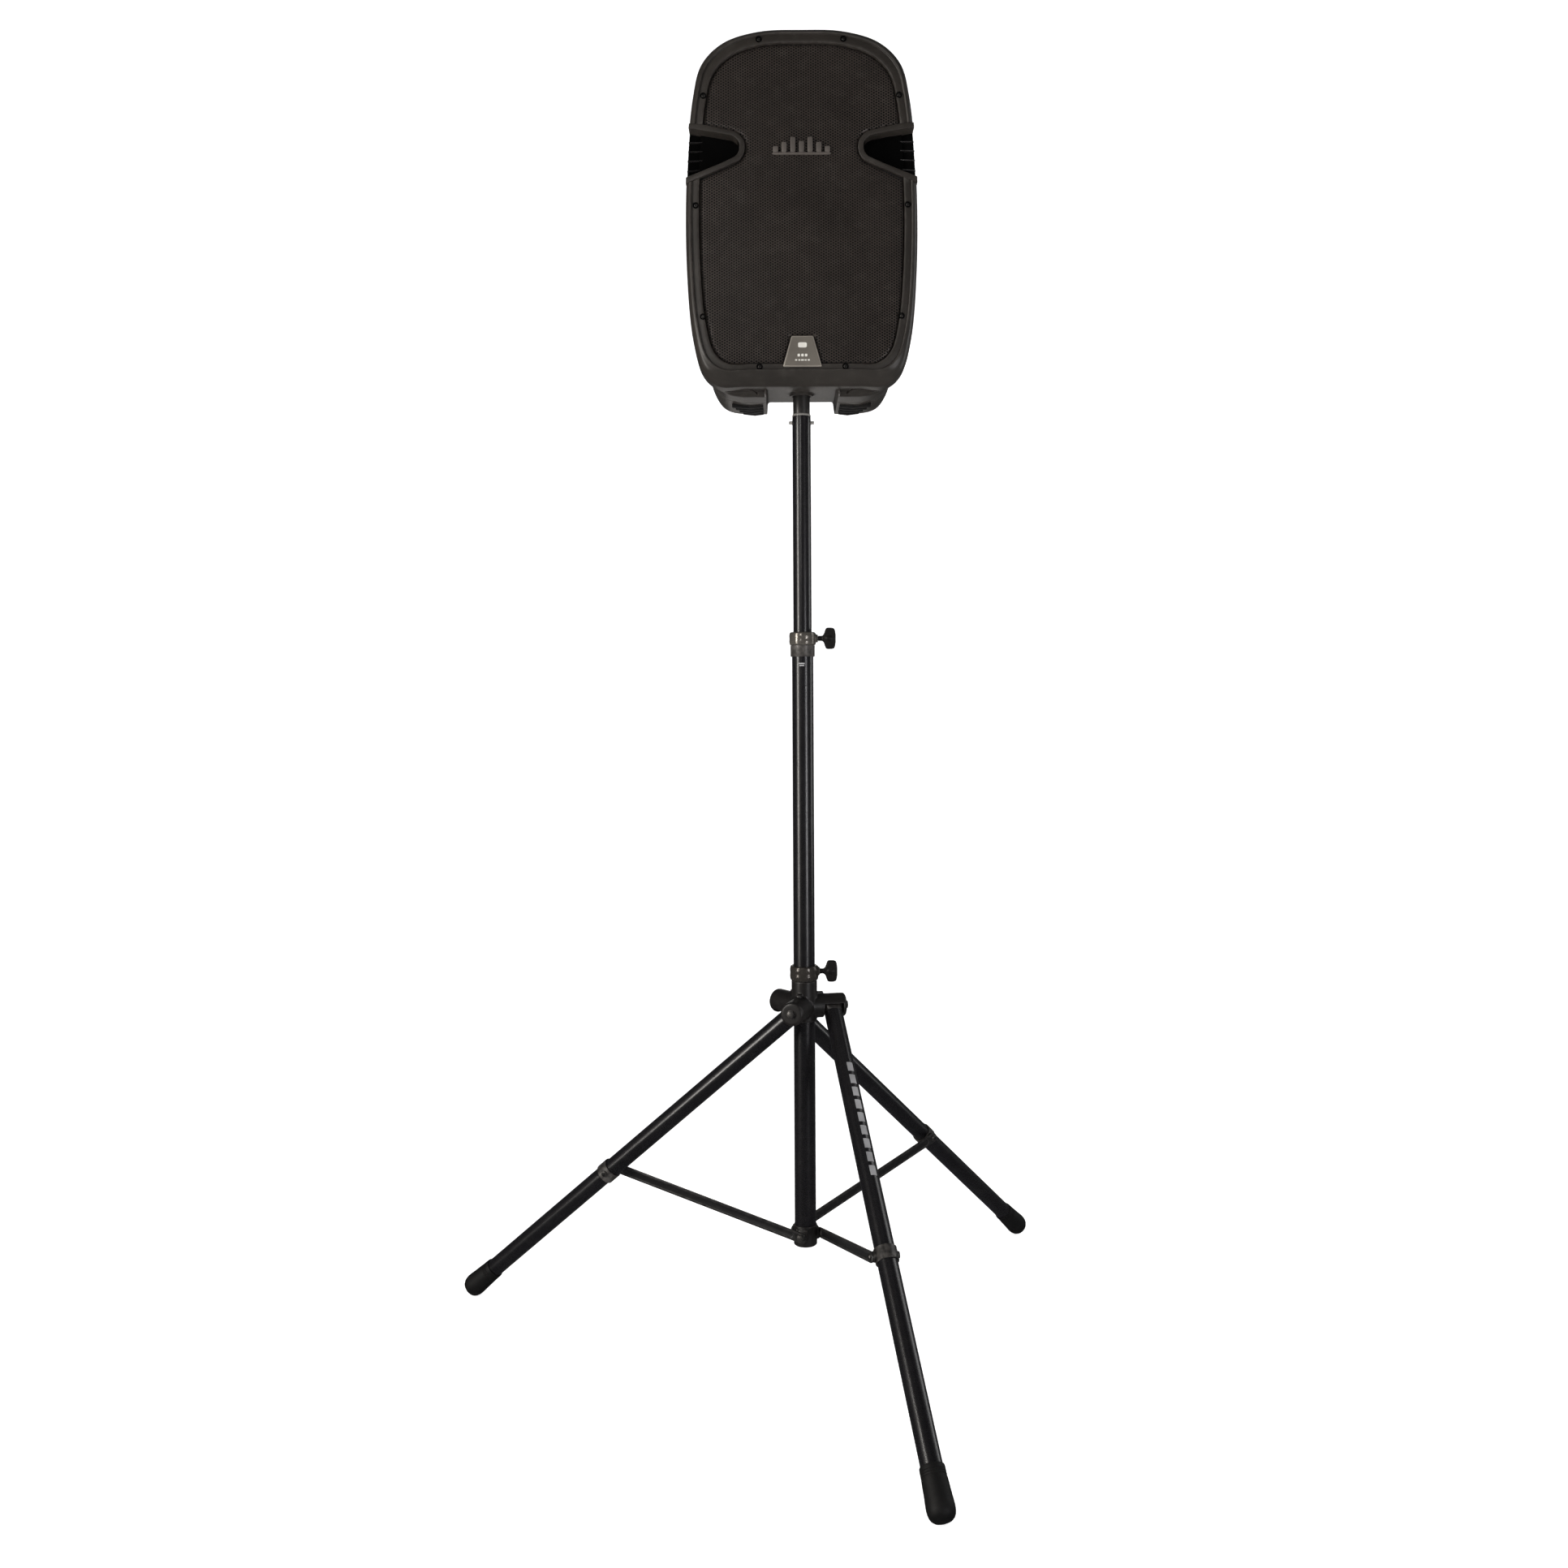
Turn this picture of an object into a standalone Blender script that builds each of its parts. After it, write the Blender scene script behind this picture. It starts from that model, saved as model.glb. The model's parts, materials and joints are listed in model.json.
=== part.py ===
"""Two-way loudspeaker on a telescopic tripod stand. Metres, +Z up, the speaker faces -Y.

The origin is on the floor, at the middle of the tripod's footprint. The mast stands beside it, because
three legs leave the hub in a pinwheel. Each group of pieces hangs from an empty on its joint's axis.
"""

import math

import bmesh
import bpy
from mathutils import Matrix, Vector

GAP = 0.0003  # between pieces that touch
ROUND = 24  # sides of a large round piece
SMALL_ROUND = 12

# Stand: heights above the floor on the mast, and radii of the tubes
MAIN_R, MAIN_WALL = 0.02222, 0.0014
POLE_R, POLE_WALL = 0.01905, 0.0020
SPIGOT_R = 0.01745
LEG_R, LEG_WALL = 0.01905, 0.0015
MAST_FOOT_Z, MAIN_TOP_Z = 0.1780, 1.4360
COLLAR_Z, COLLAR_RING_Z, COLLAR_TOP_Z = 1.4040, 1.4280, 1.4550
POLE_FOOT_Z, SHOULDER_Z, PIN_Z = 0.9000, 1.9050, 1.8920
HUB_FOOT_Z, HUB_RING_Z, HUB_TOP_Z = 0.6450, 0.7300, 0.7600
COLLAR_KNOB_Z, HUB_KNOB_Z = 1.4420, 0.7476

# Tripod: every leg lies in a plane beside the mast, SIDE_LEG away from its axis
LEG_BEARINGS = (161.3, 41.3, -78.7)  # degrees from +X towards +Y
SIDE_LEG, SIDE_BRACE = 0.0589, 0.0305
LEG_TILT = 49.0  # degrees from straight down
PIVOT_Z, LEG_TIP = 0.6744, 1.0115  # the leg's length is from its pivot to the boot's tip
BRACE_JOINT, BRACE_PIN_Z = 0.5605, 0.2003  # along the leg from its pivot; height of the lower pin
BARREL_R, BARREL_END = 0.0245, 0.0870
SLOT_FROM, SLOT_TO = 0.0385, 0.0795
PIN_R, PIN_HOLE_R = 0.0040, 0.0043

# Speaker: heights from its own feet
FEET_Z = 1.9260
FRONT_Y, SEAM_Y, REAR_Y, FEET_END_Y = -0.1900, -0.0450, 0.1780, 0.0830
CABINET_MID_Z, CABINET_HALF_W, CABINET_HALF_H = 0.3606, 0.2286, 0.3510
WALL = 0.0050
GRILLE_SCALE, GRILLE_LIFT = (0.880, 0.899), 0.0034
GRILLE_Y, GRILLE_T, FOAM_T = -0.1830, 0.0015, 0.0060
BAFFLE_Y, BAFFLE_BACK_Y = -0.1580, -0.1500
NOTCH_HALF_W, NOTCH_H, NOTCH_Y = 0.0735, 0.0255, -0.1320
HANDLE_FRONT_Y, HANDLE_BACK_Y = -0.1880, -0.1220
WOOFER_Z, WOOFER_HOLE_R = 0.2450, 0.1680
HORN_Z, HORN_HALF_W, HORN_HALF_H = 0.5720, 0.1000, 0.0650
PANEL_Z, PANEL_HALF_W, PANEL_HALF_H = 0.3000, 0.1150, 0.1650
PANEL_Y, PANEL_T = 0.1665, 0.0040
CUP_R, CUP_BORE_R, CUP_FOOT_Z, CUP_TOP_Z = 0.0255, 0.0195, 0.0205, 0.1460

# Amplifier panel: middles as (x, z)
JACKS = ((-0.080, 0.285), (-0.035, 0.285))
KNOBS = ((0.035, 0.285), (0.080, 0.285))
ROCKER, INLET = (0.070, 0.185), (-0.040, 0.185)
ROCKER_TILT = 8.0  # degrees: the rest position is off

# Half outlines from the bottom centre round to the top centre, as (x, z)
FRONT_OUTLINE = (
    (0.000, 0.0095), (0.110, 0.0095), (0.166, 0.0105), (0.196, 0.0340), (0.2152, 0.098), (0.2275, 0.240),
    (0.2272, 0.420), (0.214, 0.5785), (0.197, 0.642), (0.155, 0.6835), (0.085, 0.7055), (0.000, 0.7090),
)  # fmt: skip
BODY_OUTLINE = (
    (0.000, 0.000), (0.118, 0.000), (0.159, 0.010), (0.181, 0.038), (0.202, 0.115), (0.219, 0.240),
    (0.225, 0.400), (0.213, 0.560), (0.192, 0.632), (0.150, 0.674), (0.080, 0.697), (0.000, 0.702),
)  # fmt: skip
HANDLE_RIM = (
    (0.250, 0.5215), (0.196, 0.5185), (0.126, 0.5025), (0.1110, 0.4850), (0.1110, 0.4650), (0.1200, 0.4480),
    (0.154, 0.4325), (0.201, 0.4125), (0.250, 0.3925),
)  # fmt: skip
HANDLE_POCKET = (
    (0.260, 0.5120), (0.2145, 0.5095), (0.174, 0.5030), (0.134, 0.4955), (0.1218, 0.4840), (0.1218, 0.4665),
    (0.1290, 0.4552), (0.159, 0.4412), (0.2175, 0.4175), (0.260, 0.4010),
)  # fmt: skip


def clear_scene():
    for thing in list(bpy.data.objects):
        bpy.data.objects.remove(thing, do_unlink=True)


def material(name, colour, roughness, metallic=0.0):
    made = bpy.data.materials.new(name)
    made.use_nodes = True
    shader = made.node_tree.nodes["Principled BSDF"]
    shader.inputs["Base Color"].default_value = (*colour, 1.0)
    shader.inputs["Roughness"].default_value = roughness
    shader.inputs["Metallic"].default_value = metallic
    made.diffuse_color = (*colour, 1.0)
    return made


# Placing and making objects


def frame(origin, z_axis, x_axis):
    """The matrix of a frame at origin whose Z is z_axis and whose X is as near as can be to x_axis."""
    z = Vector(z_axis).normalized()
    y = z.cross(Vector(x_axis)).normalized()
    made = Matrix((y.cross(z), y, z)).transposed().to_4x4()
    made.translation = Vector(origin)
    return made


def empty(name, matrix, parent=None):
    made = bpy.data.objects.new(name, None)
    bpy.context.scene.collection.objects.link(made)
    made.parent = parent
    made.matrix_basis = matrix
    return made


def place(name, bm, parent, matrix=None):
    bmesh.ops.recalc_face_normals(bm, faces=bm.faces)
    mesh = bpy.data.meshes.new(name)
    bm.to_mesh(mesh)
    bm.free()
    mesh.shade_smooth()
    mesh.set_sharp_from_angle(angle=math.radians(35))
    made = bpy.data.objects.new(name, mesh)
    bpy.context.scene.collection.objects.link(made)
    made.parent = parent
    made.matrix_basis = matrix or Matrix()
    return made


def solid(name, bm, look, parent, matrix=None):
    made = place(name, bm, parent, matrix)
    made.data.materials.append(look)
    return made


def cutter(name, bm, parent, matrix=None):
    made = place(name + "_cutter", bm, parent, matrix)
    made.hide_render = True
    made.display_type = "WIRE"
    return made


def boolean(target, other, operation="DIFFERENCE"):
    step = target.modifiers.new(operation.lower(), "BOOLEAN")
    step.operation = operation
    step.object = other


def bevel(target, width, segments=2, angle=40):
    step = target.modifiers.new("bevel", "BEVEL")
    step.width = width
    step.segments = segments
    step.limit_method = "ANGLE"
    step.angle_limit = math.radians(angle)


# Shapes


def loft(rings, closed=False):
    """A closed solid through rings of equally many points. closed joins the last ring to the first."""
    bm = bmesh.new()
    rows = [[bm.verts.new(p) for p in ring] for ring in rings]
    pairs = list(zip(rows, rows[1:]))
    if closed:
        pairs.append((rows[-1], rows[0]))
    for low, high in pairs:
        for i in range(len(low)):
            j = (i + 1) % len(low)
            bm.faces.new((low[i], low[j], high[j], high[i]))
    if not closed:
        bm.faces.new(rows[0])
        bm.faces.new(rows[-1])
    return bm


def turned(profile, sides=ROUND):
    """A solid turned about Z from a profile of (radius, z), which is a ring or starts and ends on the axis.

    Two points on the axis in a row part the outside from a blind hole.
    """
    bm = bmesh.new()
    rows = []
    for radius, z in profile:
        if radius == 0:
            rows.append([bm.verts.new((0, 0, z))])
            continue
        turns = [math.tau * i / sides for i in range(sides)]
        rows.append([bm.verts.new((radius * math.cos(a), radius * math.sin(a), z)) for a in turns])
    pairs = list(zip(rows, rows[1:]))
    if len(rows[0]) > 1:
        pairs.append((rows[-1], rows[0]))
    for low, high in pairs:
        if len(low) == len(high) == 1:
            continue
        for i in range(sides):
            j = (i + 1) % sides
            if len(low) == 1:
                bm.faces.new((low[0], high[j], high[i]))
            elif len(high) == 1:
                bm.faces.new((low[i], low[j], high[0]))
            else:
                bm.faces.new((low[i], low[j], high[j], high[i]))
    return bm


def rod(radius, low, high, sides=SMALL_ROUND):
    return turned(((0, low), (radius, low), (radius, high), (0, high)), sides)


def tube(outer, inner, low, high, sides=ROUND):
    return turned(((outer, low), (outer, high), (inner, high), (inner, low)), sides)


def prism(outline, low, high):
    """The outline of (x, y) points, extruded along Z."""
    return loft([[(x, y, z) for x, y in outline] for z in (low, high)])


def slab(outline, front, back):
    """The outline of (x, z) points, extruded along Y."""
    return loft([[(x, y, z) for x, z in outline] for y in (front, back)])


def block(low, high):
    corners = ((low[0], low[1]), (high[0], low[1]), (high[0], high[1]), (low[0], high[1]))
    return prism(corners, low[2], high[2])


def hull(points):
    bm = bmesh.new()
    for point in points:
        bm.verts.new(point)
    made = bmesh.ops.convex_hull(bm, input=bm.verts)
    spare = set(made["geom_interior"]) | set(made["geom_unused"])
    bmesh.ops.delete(bm, geom=[v for v in spare if isinstance(v, bmesh.types.BMVert)], context="VERTS")
    return bm


def circle(radius, centre=(0.0, 0.0), sides=16):
    turns = [math.tau * i / sides for i in range(sides)]
    return [(centre[0] + radius * math.cos(a), centre[1] + radius * math.sin(a)) for a in turns]


def smooth_half(points, steps):
    """Points on a centripetal Catmull-Rom curve through a half outline that ends on the middle plane.

    The curve is kept from dipping below its first point, so that the bottom is flat.
    """
    first, last, foot = points[1], points[-2], points[0][1]
    path = [Vector((-first[0], first[1]))] + [Vector(p) for p in points] + [Vector((-last[0], last[1]))]
    made = []
    for a, b, c, d in zip(path, path[1:], path[2:], path[3:]):
        t1 = (b - a).length ** 0.5
        t2 = t1 + (c - b).length ** 0.5
        t3 = t2 + (d - c).length ** 0.5
        for k in range(steps):
            t = t1 + (t2 - t1) * k / steps
            ab = a.lerp(b, t / t1)
            bc = b.lerp(c, (t - t1) / (t2 - t1))
            cd = c.lerp(d, (t - t2) / (t3 - t2))
            made.append(ab.lerp(bc, t / t2).lerp(bc.lerp(cd, (t - t1) / (t3 - t1)), (t - t1) / (t2 - t1)))
    return [Vector((p.x, max(p.y, foot))) for p in made] + [path[-2]]


def whole(half):
    """A full outline from a half one that starts and ends on the middle plane."""
    return [(p[0], p[1]) for p in half] + [(-p[0], p[1]) for p in reversed(half[1:-1])]


def cabinet_outline(share, inset, steps=2):
    """The outline share of the way from the front one to the body one, drawn in by inset."""
    front, body = smooth_half(FRONT_OUTLINE, steps), smooth_half(BODY_OUTLINE, steps)
    half = [f.lerp(b, share) for f, b in zip(front, body)]
    wide = 1 - inset / CABINET_HALF_W
    high = 1 - inset / CABINET_HALF_H
    return whole([Vector((p.x * wide, CABINET_MID_Z + (p.y - CABINET_MID_Z) * high)) for p in half])


def cabinet(sections):
    """A solid through cabinet outlines given as (y, share, inset)."""
    return loft([[(x, y, z) for x, z in cabinet_outline(share, inset)] for y, share, inset in sections])


def grille_outline(grow=0.0):
    half = smooth_half(FRONT_OUTLINE, 2)
    wide = GRILLE_SCALE[0] + grow / CABINET_HALF_W
    high = GRILLE_SCALE[1] + grow / CABINET_HALF_H
    middle = CABINET_MID_Z + GRILLE_LIFT
    return whole([Vector((p.x * wide, middle + (p.y - CABINET_MID_Z) * high)) for p in half])


def handle_outline(points, side, grow=0.0):
    """A handle outline, its centre side grown by grow, on the side of the sign of side."""
    middle = sum(z for _, z in points) / len(points)
    made = [(side * (x - grow), z + math.copysign(grow, z - middle)) for x, z in points]
    return made if side > 0 else made[::-1]


# Stand


def polar(bearing):
    """The directions out along a leg's bearing and across it."""
    a = math.radians(bearing)
    return Vector((math.cos(a), math.sin(a), 0)), Vector((-math.sin(a), math.cos(a), 0))


def foot_reach():
    return (LEG_TIP - 0.02) * math.sin(math.radians(LEG_TILT))


def mast_place():
    """Where the mast stands so that the footprint's middle is at the origin."""
    feet = []
    for bearing in LEG_BEARINGS:
        out, across = polar(bearing)
        feet.append(out * foot_reach() + across * SIDE_LEG)
    middle = [(min(f[i] for f in feet) + max(f[i] for f in feet)) / 2 for i in (0, 1)]
    return Vector((-middle[0], -middle[1], 0))


def make_mast(looks, root):
    inner = MAIN_R - MAIN_WALL
    low = MAST_FOOT_Z + 0.006
    solid("main_tube", tube(MAIN_R, inner, low, MAIN_TOP_Z), looks["tube"], root)
    fit = MAIN_R + GAP
    profile = (
        (fit, COLLAR_Z), (0.0253, COLLAR_Z), (0.0253, COLLAR_RING_Z - 0.002), (0.0271, COLLAR_RING_Z + 0.002),
        (0.0277, COLLAR_RING_Z + 0.013), (0.0271, COLLAR_TOP_Z - 0.003), (0.0250, COLLAR_TOP_Z),
        (0.0196, COLLAR_TOP_Z), (0.0196, MAIN_TOP_Z + GAP), (fit, MAIN_TOP_Z + GAP),
    )  # fmt: skip
    collar = solid("tube_collar", turned(profile), looks["cast"], root)
    boolean(collar, cutter("collar_screw_hole", rod(PIN_HOLE_R, 0, 0.05), root, knob_frame(COLLAR_KNOB_Z)))
    bush = tube(inner - GAP, 0.0194, MAIN_TOP_Z - 0.045, MAIN_TOP_Z - 0.001)
    solid("collar_bush", bush, looks["nylon"], root)
    make_base_bracket(looks, root)


def make_base_bracket(looks, root):
    """A cup round the mast's foot with a boss for each brace, and the three bolts."""
    outer, top, boss_end = 0.0262, BRACE_PIN_Z + 0.020, SIDE_BRACE - 0.0023
    profile = ((0, MAST_FOOT_Z), (outer - 0.002, MAST_FOOT_Z), (outer, MAST_FOOT_Z + 0.002), (outer, top), (0, top))
    bracket = solid("base_bracket", turned(profile), looks["cast"], root)
    places = []
    for number, bearing in enumerate(LEG_BEARINGS, 1):
        out, across = polar(bearing)
        at = frame((0, 0, BRACE_PIN_Z), across, out)
        boolean(bracket, cutter(f"brace_boss_{number}", rod(0.0115, 0.0100, boss_end), root, at), "UNION")
        places.append((number, at))
    bore = rod(MAIN_R + GAP, MAST_FOOT_Z + 0.0055, BRACE_PIN_Z + 0.030, ROUND)
    boolean(bracket, cutter("bracket_bore", bore, root))
    shank, head = MAIN_R + 0.001, SIDE_BRACE + 0.0023
    for number, at in places:
        hole = rod(PIN_HOLE_R, 0.0150, 0.0500)
        boolean(bracket, cutter(f"brace_boss_hole_{number}", hole, root, at))
        bolt = turned(((0, shank), (PIN_R, shank), (PIN_R, head), (0.0075, head), (0.0075, head + 0.0045),
                       (0.0055, head + 0.0055), (0, head + 0.0055)), SMALL_ROUND)  # fmt: skip
        solid(f"brace_bolt_{number}", bolt, looks["bolt"], root, at)


def knob_frame(height):
    """A knob's screw runs out along +X from the mast's axis."""
    return frame((0, 0, height), (1, 0, 0), (0, 1, 0))


def make_knob(name, height, tip, looks, parent):
    """A wing knob and its screw, on an empty whose Z runs out along the screw."""
    axis = empty(f"{name}_axis", knob_frame(height), parent)
    solid(f"{name}_screw", rod(PIN_R, tip, 0.0520), looks["bolt"], axis)
    neck = turned(((0, 0.0300), (0.0060, 0.0300), (0.0068, 0.0400), (0.0085, 0.0460), (0.0085, 0.0600),
                   (0, 0.0640)), SMALL_ROUND)  # fmt: skip
    knob = solid(name, neck, looks["knob"], axis)
    upper = ((0.0085, 0.0445), (0.0150, 0.0440), (0.0215, 0.0470), (0.0225, 0.0580), (0.0190, 0.0660),
             (0.0080, 0.0690))  # fmt: skip
    outline = list(upper) + [(-a, b) for a, b in reversed(upper)]
    wing = prism(outline, -0.0055, 0.0055)
    bmesh.ops.bevel(wing, geom=wing.edges[:], offset=0.0016, segments=1, affect="EDGES")
    lay = Matrix(((0, 0, 1, 0), (1, 0, 0, 0), (0, 1, 0, 0), (0, 0, 0, 1)))
    boolean(knob, cutter(f"{name}_wing", wing, axis, lay), "UNION")
    boolean(knob, cutter(f"{name}_bore", rod(PIN_HOLE_R, 0.0200, 0.0524), axis))


def make_pole(looks, root):
    pole = solid("pole", tube(POLE_R, POLE_R - POLE_WALL, POLE_FOOT_Z, SHOULDER_Z), looks["tube"], root)
    plug, top = POLE_R - POLE_WALL - GAP, FEET_Z + 0.1390
    flange = POLE_R + 0.0004
    profile = ((0, SHOULDER_Z - 0.045), (plug, SHOULDER_Z - 0.045), (plug, SHOULDER_Z + GAP),
               (flange, SHOULDER_Z + GAP), (flange, SHOULDER_Z + 0.0030), (SPIGOT_R, SHOULDER_Z + 0.0040),
               (SPIGOT_R, top - 0.004), (SPIGOT_R - 0.003, top), (0, top))  # fmt: skip
    spigot = solid("spigot", turned(profile), looks["spigot"], root)
    across = frame((0, 0, PIN_Z), (1, 0, 0), (0, 1, 0))
    for piece in (pole, spigot):
        boolean(piece, cutter(f"{piece.name}_pin_hole", rod(0.0033, -0.03, 0.03), root, across))
    solid("cross_pin", rod(0.0030, -0.0263, 0.0263), looks["bolt"], root, across)


def make_hub(looks, root):
    """The sliding hub: a ring and sleeve round the mast, and a forked barrel beside it for each leg."""
    bore = MAIN_R + 0.0017
    hub_axis = empty("hub_slider", Matrix.Translation((0, 0, PIVOT_Z)), root)
    down = Matrix.Translation((0, 0, -PIVOT_Z))
    profile = (
        (0, HUB_FOOT_Z), (0.0262, HUB_FOOT_Z), (0.0262, HUB_RING_Z - 0.002), (0.0288, HUB_RING_Z + 0.002),
        (0.0294, HUB_RING_Z + 0.015), (0.0288, HUB_TOP_Z - 0.003), (0.0262, HUB_TOP_Z), (0, HUB_TOP_Z),
    )  # fmt: skip
    hub = solid("hub", turned(profile), looks["cast"], hub_axis, down)
    barrels = []
    for number, bearing in enumerate(LEG_BEARINGS, 1):
        out, across = polar(bearing)
        at = frame((0, 0, 0), across, out)
        end = ((0, 0.010), (BARREL_R, 0.010), (BARREL_R, BARREL_END - 0.004), (BARREL_R - 0.004, BARREL_END),
               (0, BARREL_END))  # fmt: skip
        boolean(hub, cutter(f"barrel_{number}", turned(end), hub_axis, at), "UNION")
        barrels.append((number, at))
    for number, at in barrels:
        boolean(hub, cutter(f"fork_slot_{number}", fork_slot(), hub_axis, at))
        boolean(hub, cutter(f"leg_bolt_hole_{number}", rod(PIN_HOLE_R, 0.0280, 0.1000), hub_axis, at))
    inside = cutter("hub_bore", rod(bore, -0.10, 0.12, ROUND), hub_axis)
    boolean(hub, inside)
    screw_hole = rod(PIN_HOLE_R, 0, 0.05)
    boolean(hub, cutter("hub_screw_hole", screw_hole, hub_axis, knob_frame(HUB_KNOB_Z - PIVOT_Z)))
    bush = tube(bore - GAP, MAIN_R + 0.0004, HUB_FOOT_Z + 0.002, HUB_RING_Z + 0.012)
    solid("hub_bush", bush, looks["nylon"], hub_axis, down)
    for number, at in barrels:
        head = BARREL_END + GAP
        bolt = turned(((0, 0.0285), (PIN_R, 0.0285), (PIN_R, head), (0.0080, head), (0.0080, head + 0.004),
                       (0.0060, head + 0.005), (0, head + 0.005)), SMALL_ROUND)  # fmt: skip
        solid(f"leg_bolt_{number}", bolt, looks["bolt"], hub_axis, at)
    return hub_axis


def fork_slot():
    """The room a leg's end sweeps in its fork: three discs round the pivot and along the leg's two limits."""
    points = []
    for degrees, reach in ((0, 0.0), (2, 0.07), (LEG_TILT + 2, 0.07)):
        a = math.radians(degrees)
        centre = (reach * math.sin(a), -reach * math.cos(a))
        for x, y in circle(0.0205, centre, 16):
            points += [(x, -y, SLOT_FROM), (x, -y, SLOT_TO)]
    return hull([(x, y, z) for x, y, z in points])


def make_leg(number, bearing, looks, hub_axis):
    out, across = polar(bearing)
    tilt = math.radians(LEG_TILT)
    along = out * math.sin(tilt) - Vector((0, 0, 1)) * math.cos(tilt)
    axis = empty(f"leg_{number}_pivot", frame(across * SIDE_LEG, along, across), hub_axis)
    name = f"leg_{number}"
    start, end = 0.0220, LEG_TIP - 0.0310
    solid(f"{name}_tube", tube(LEG_R, LEG_R - LEG_WALL, start, end, 16), looks["tube"], axis)
    half, inner = 0.0187, LEG_R - LEG_WALL - GAP
    points = [(side, x, y) for x, y in circle(0.0180, sides=16) for side in (-half, half)]
    points += [(x, y, start - GAP) for x, y in circle(LEG_R)]
    knuckle = solid(f"{name}_knuckle", hull(points), looks["cast"], axis)
    boolean(knuckle, cutter(f"{name}_plug", rod(inner, 0.0100, 0.0650), axis), "UNION")
    crosswise = frame((0, 0, 0), (1, 0, 0), (0, 1, 0))
    boolean(knuckle, cutter(f"{name}_bolt_hole", rod(PIN_HOLE_R, -0.05, 0.05), axis, crosswise))
    mouth, tip = LEG_R + GAP, LEG_TIP
    profile = ((mouth, tip - 0.0850), (0.0211, tip - 0.0850), (0.0215, tip - 0.0820), (0.0231, tip - 0.0400),
               (0.0240, tip - 0.0270), (0.0238, tip - 0.0170), (0.0205, tip - 0.0070), (0.0120, tip - 0.0015),
               (0, tip), (0, end + GAP), (mouth, end + GAP))  # fmt: skip
    solid(f"{name}_boot", turned(profile, 16), looks["rubber"], axis)
    clamp_ring = tube(LEG_R + 0.0032, LEG_R + GAP, BRACE_JOINT - 0.013, BRACE_JOINT + 0.013, 16)
    clamp = solid(f"{name}_clamp", clamp_ring, looks["cast"], axis)
    ear_at = frame((0, 0, BRACE_JOINT), (-1, 0, 0), (0, 1, 0))
    ear = rod(0.0095, LEG_R + 0.001, SIDE_LEG - SIDE_BRACE - 0.0027)
    boolean(clamp, cutter(f"{name}_ear", ear, axis, ear_at), "UNION")


def brace_angle():
    """The brace's length between pins, and its rest angle from straight up, from the leg's geometry."""
    tilt = math.radians(LEG_TILT)
    reach = BRACE_JOINT * math.sin(tilt)
    rise = PIVOT_Z - BRACE_JOINT * math.cos(tilt) - BRACE_PIN_Z
    return math.hypot(reach, rise), math.atan2(reach, rise)


def make_brace(number, bearing, looks, root):
    out, across = polar(bearing)
    length, angle = brace_angle()
    along = out * math.sin(angle) + Vector((0, 0, 1)) * math.cos(angle)
    origin = across * SIDE_BRACE + Vector((0, 0, BRACE_PIN_Z))
    axis = empty(f"brace_{number}_pivot", frame(origin, across, along), root)
    half_w, half_t = 0.0102, 0.0020
    arc = [math.radians(90 + 180 * i / 8) for i in range(9)]
    outline = [(half_w * math.cos(a), half_w * math.sin(a)) for a in arc]
    outline += [(length - half_w * math.cos(a), -half_w * math.sin(a)) for a in arc]
    bar = solid(f"brace_{number}", prism(outline, -half_t, half_t), looks["brace"], axis)
    rivet = turned(((0, -0.0055), (0.0050, -0.0055), (0.0070, -0.0040), (0.0070, 0), (0, 0)), SMALL_ROUND)
    boolean(bar, cutter(f"brace_{number}_rivet", rivet, axis, Matrix.Translation((length, 0, 0))), "UNION")
    boolean(bar, cutter(f"brace_{number}_hole", rod(PIN_HOLE_R, -0.01, 0.01), axis))


# Speaker


def make_front_housing(looks, seat):
    outer = cabinet(((FRONT_Y, 0, 0.013), (-0.1860, 0, 0.005), (-0.1740, 0, 0), (-0.1500, 0, 0.0005),
                     (-0.1380, 0.4, 0.001), (-0.1150, 1, 0.0), (SEAM_Y - GAP / 2, 1, 0)))  # fmt: skip
    housing = solid("front_housing", outer, looks["housing"], seat)
    boolean(housing, cutter("front_notch", notch(), seat))
    cavity = cutter("front_cavity", cabinet(((BAFFLE_BACK_Y, 0.2, 0.012), (-0.115, 1, WALL),
                                             (SEAM_Y + 0.01, 1, WALL))), seat)  # fmt: skip
    boolean(cavity, cutter("front_notch_wall", notch(WALL), seat))
    boolean(housing, cavity)
    seat_cut = slab(grille_outline(GAP), FRONT_Y - 0.01, BAFFLE_Y)
    boolean(housing, cutter("grille_seat", seat_cut, seat))
    facing = frame((0, 0, WOOFER_Z), (0, -1, 0), (1, 0, 0))
    boolean(housing, cutter("woofer_hole", rod(WOOFER_HOLE_R, 0.10, 0.18, 32), seat, facing))
    mouth = [(x, HORN_Z + z) for x, z in rounded_box(HORN_HALF_W, HORN_HALF_H, 4)]
    boolean(housing, cutter("horn_hole", slab(mouth, -0.17, -0.10), seat))
    for side, name in ((-1, "left"), (1, "right")):
        outline = handle_outline(HANDLE_RIM, side, GAP)
        room = slab(outline, FRONT_Y - 0.01, HANDLE_BACK_Y + GAP)
        boolean(housing, cutter(f"handle_{name}_room", room, seat))


def notch(grow=0.0):
    """The channel between the feet. It starts behind the front's lip and rises behind the feet."""
    top = NOTCH_H + grow
    start = NOTCH_Y - grow
    side = ((start, -0.05), (0.30, -0.05), (0.30, top + 0.045), (FEET_END_Y, top), (start, top))
    half = NOTCH_HALF_W + grow
    return loft([[(x, y, z) for y, z in side] for x in (-half, half)])


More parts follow.
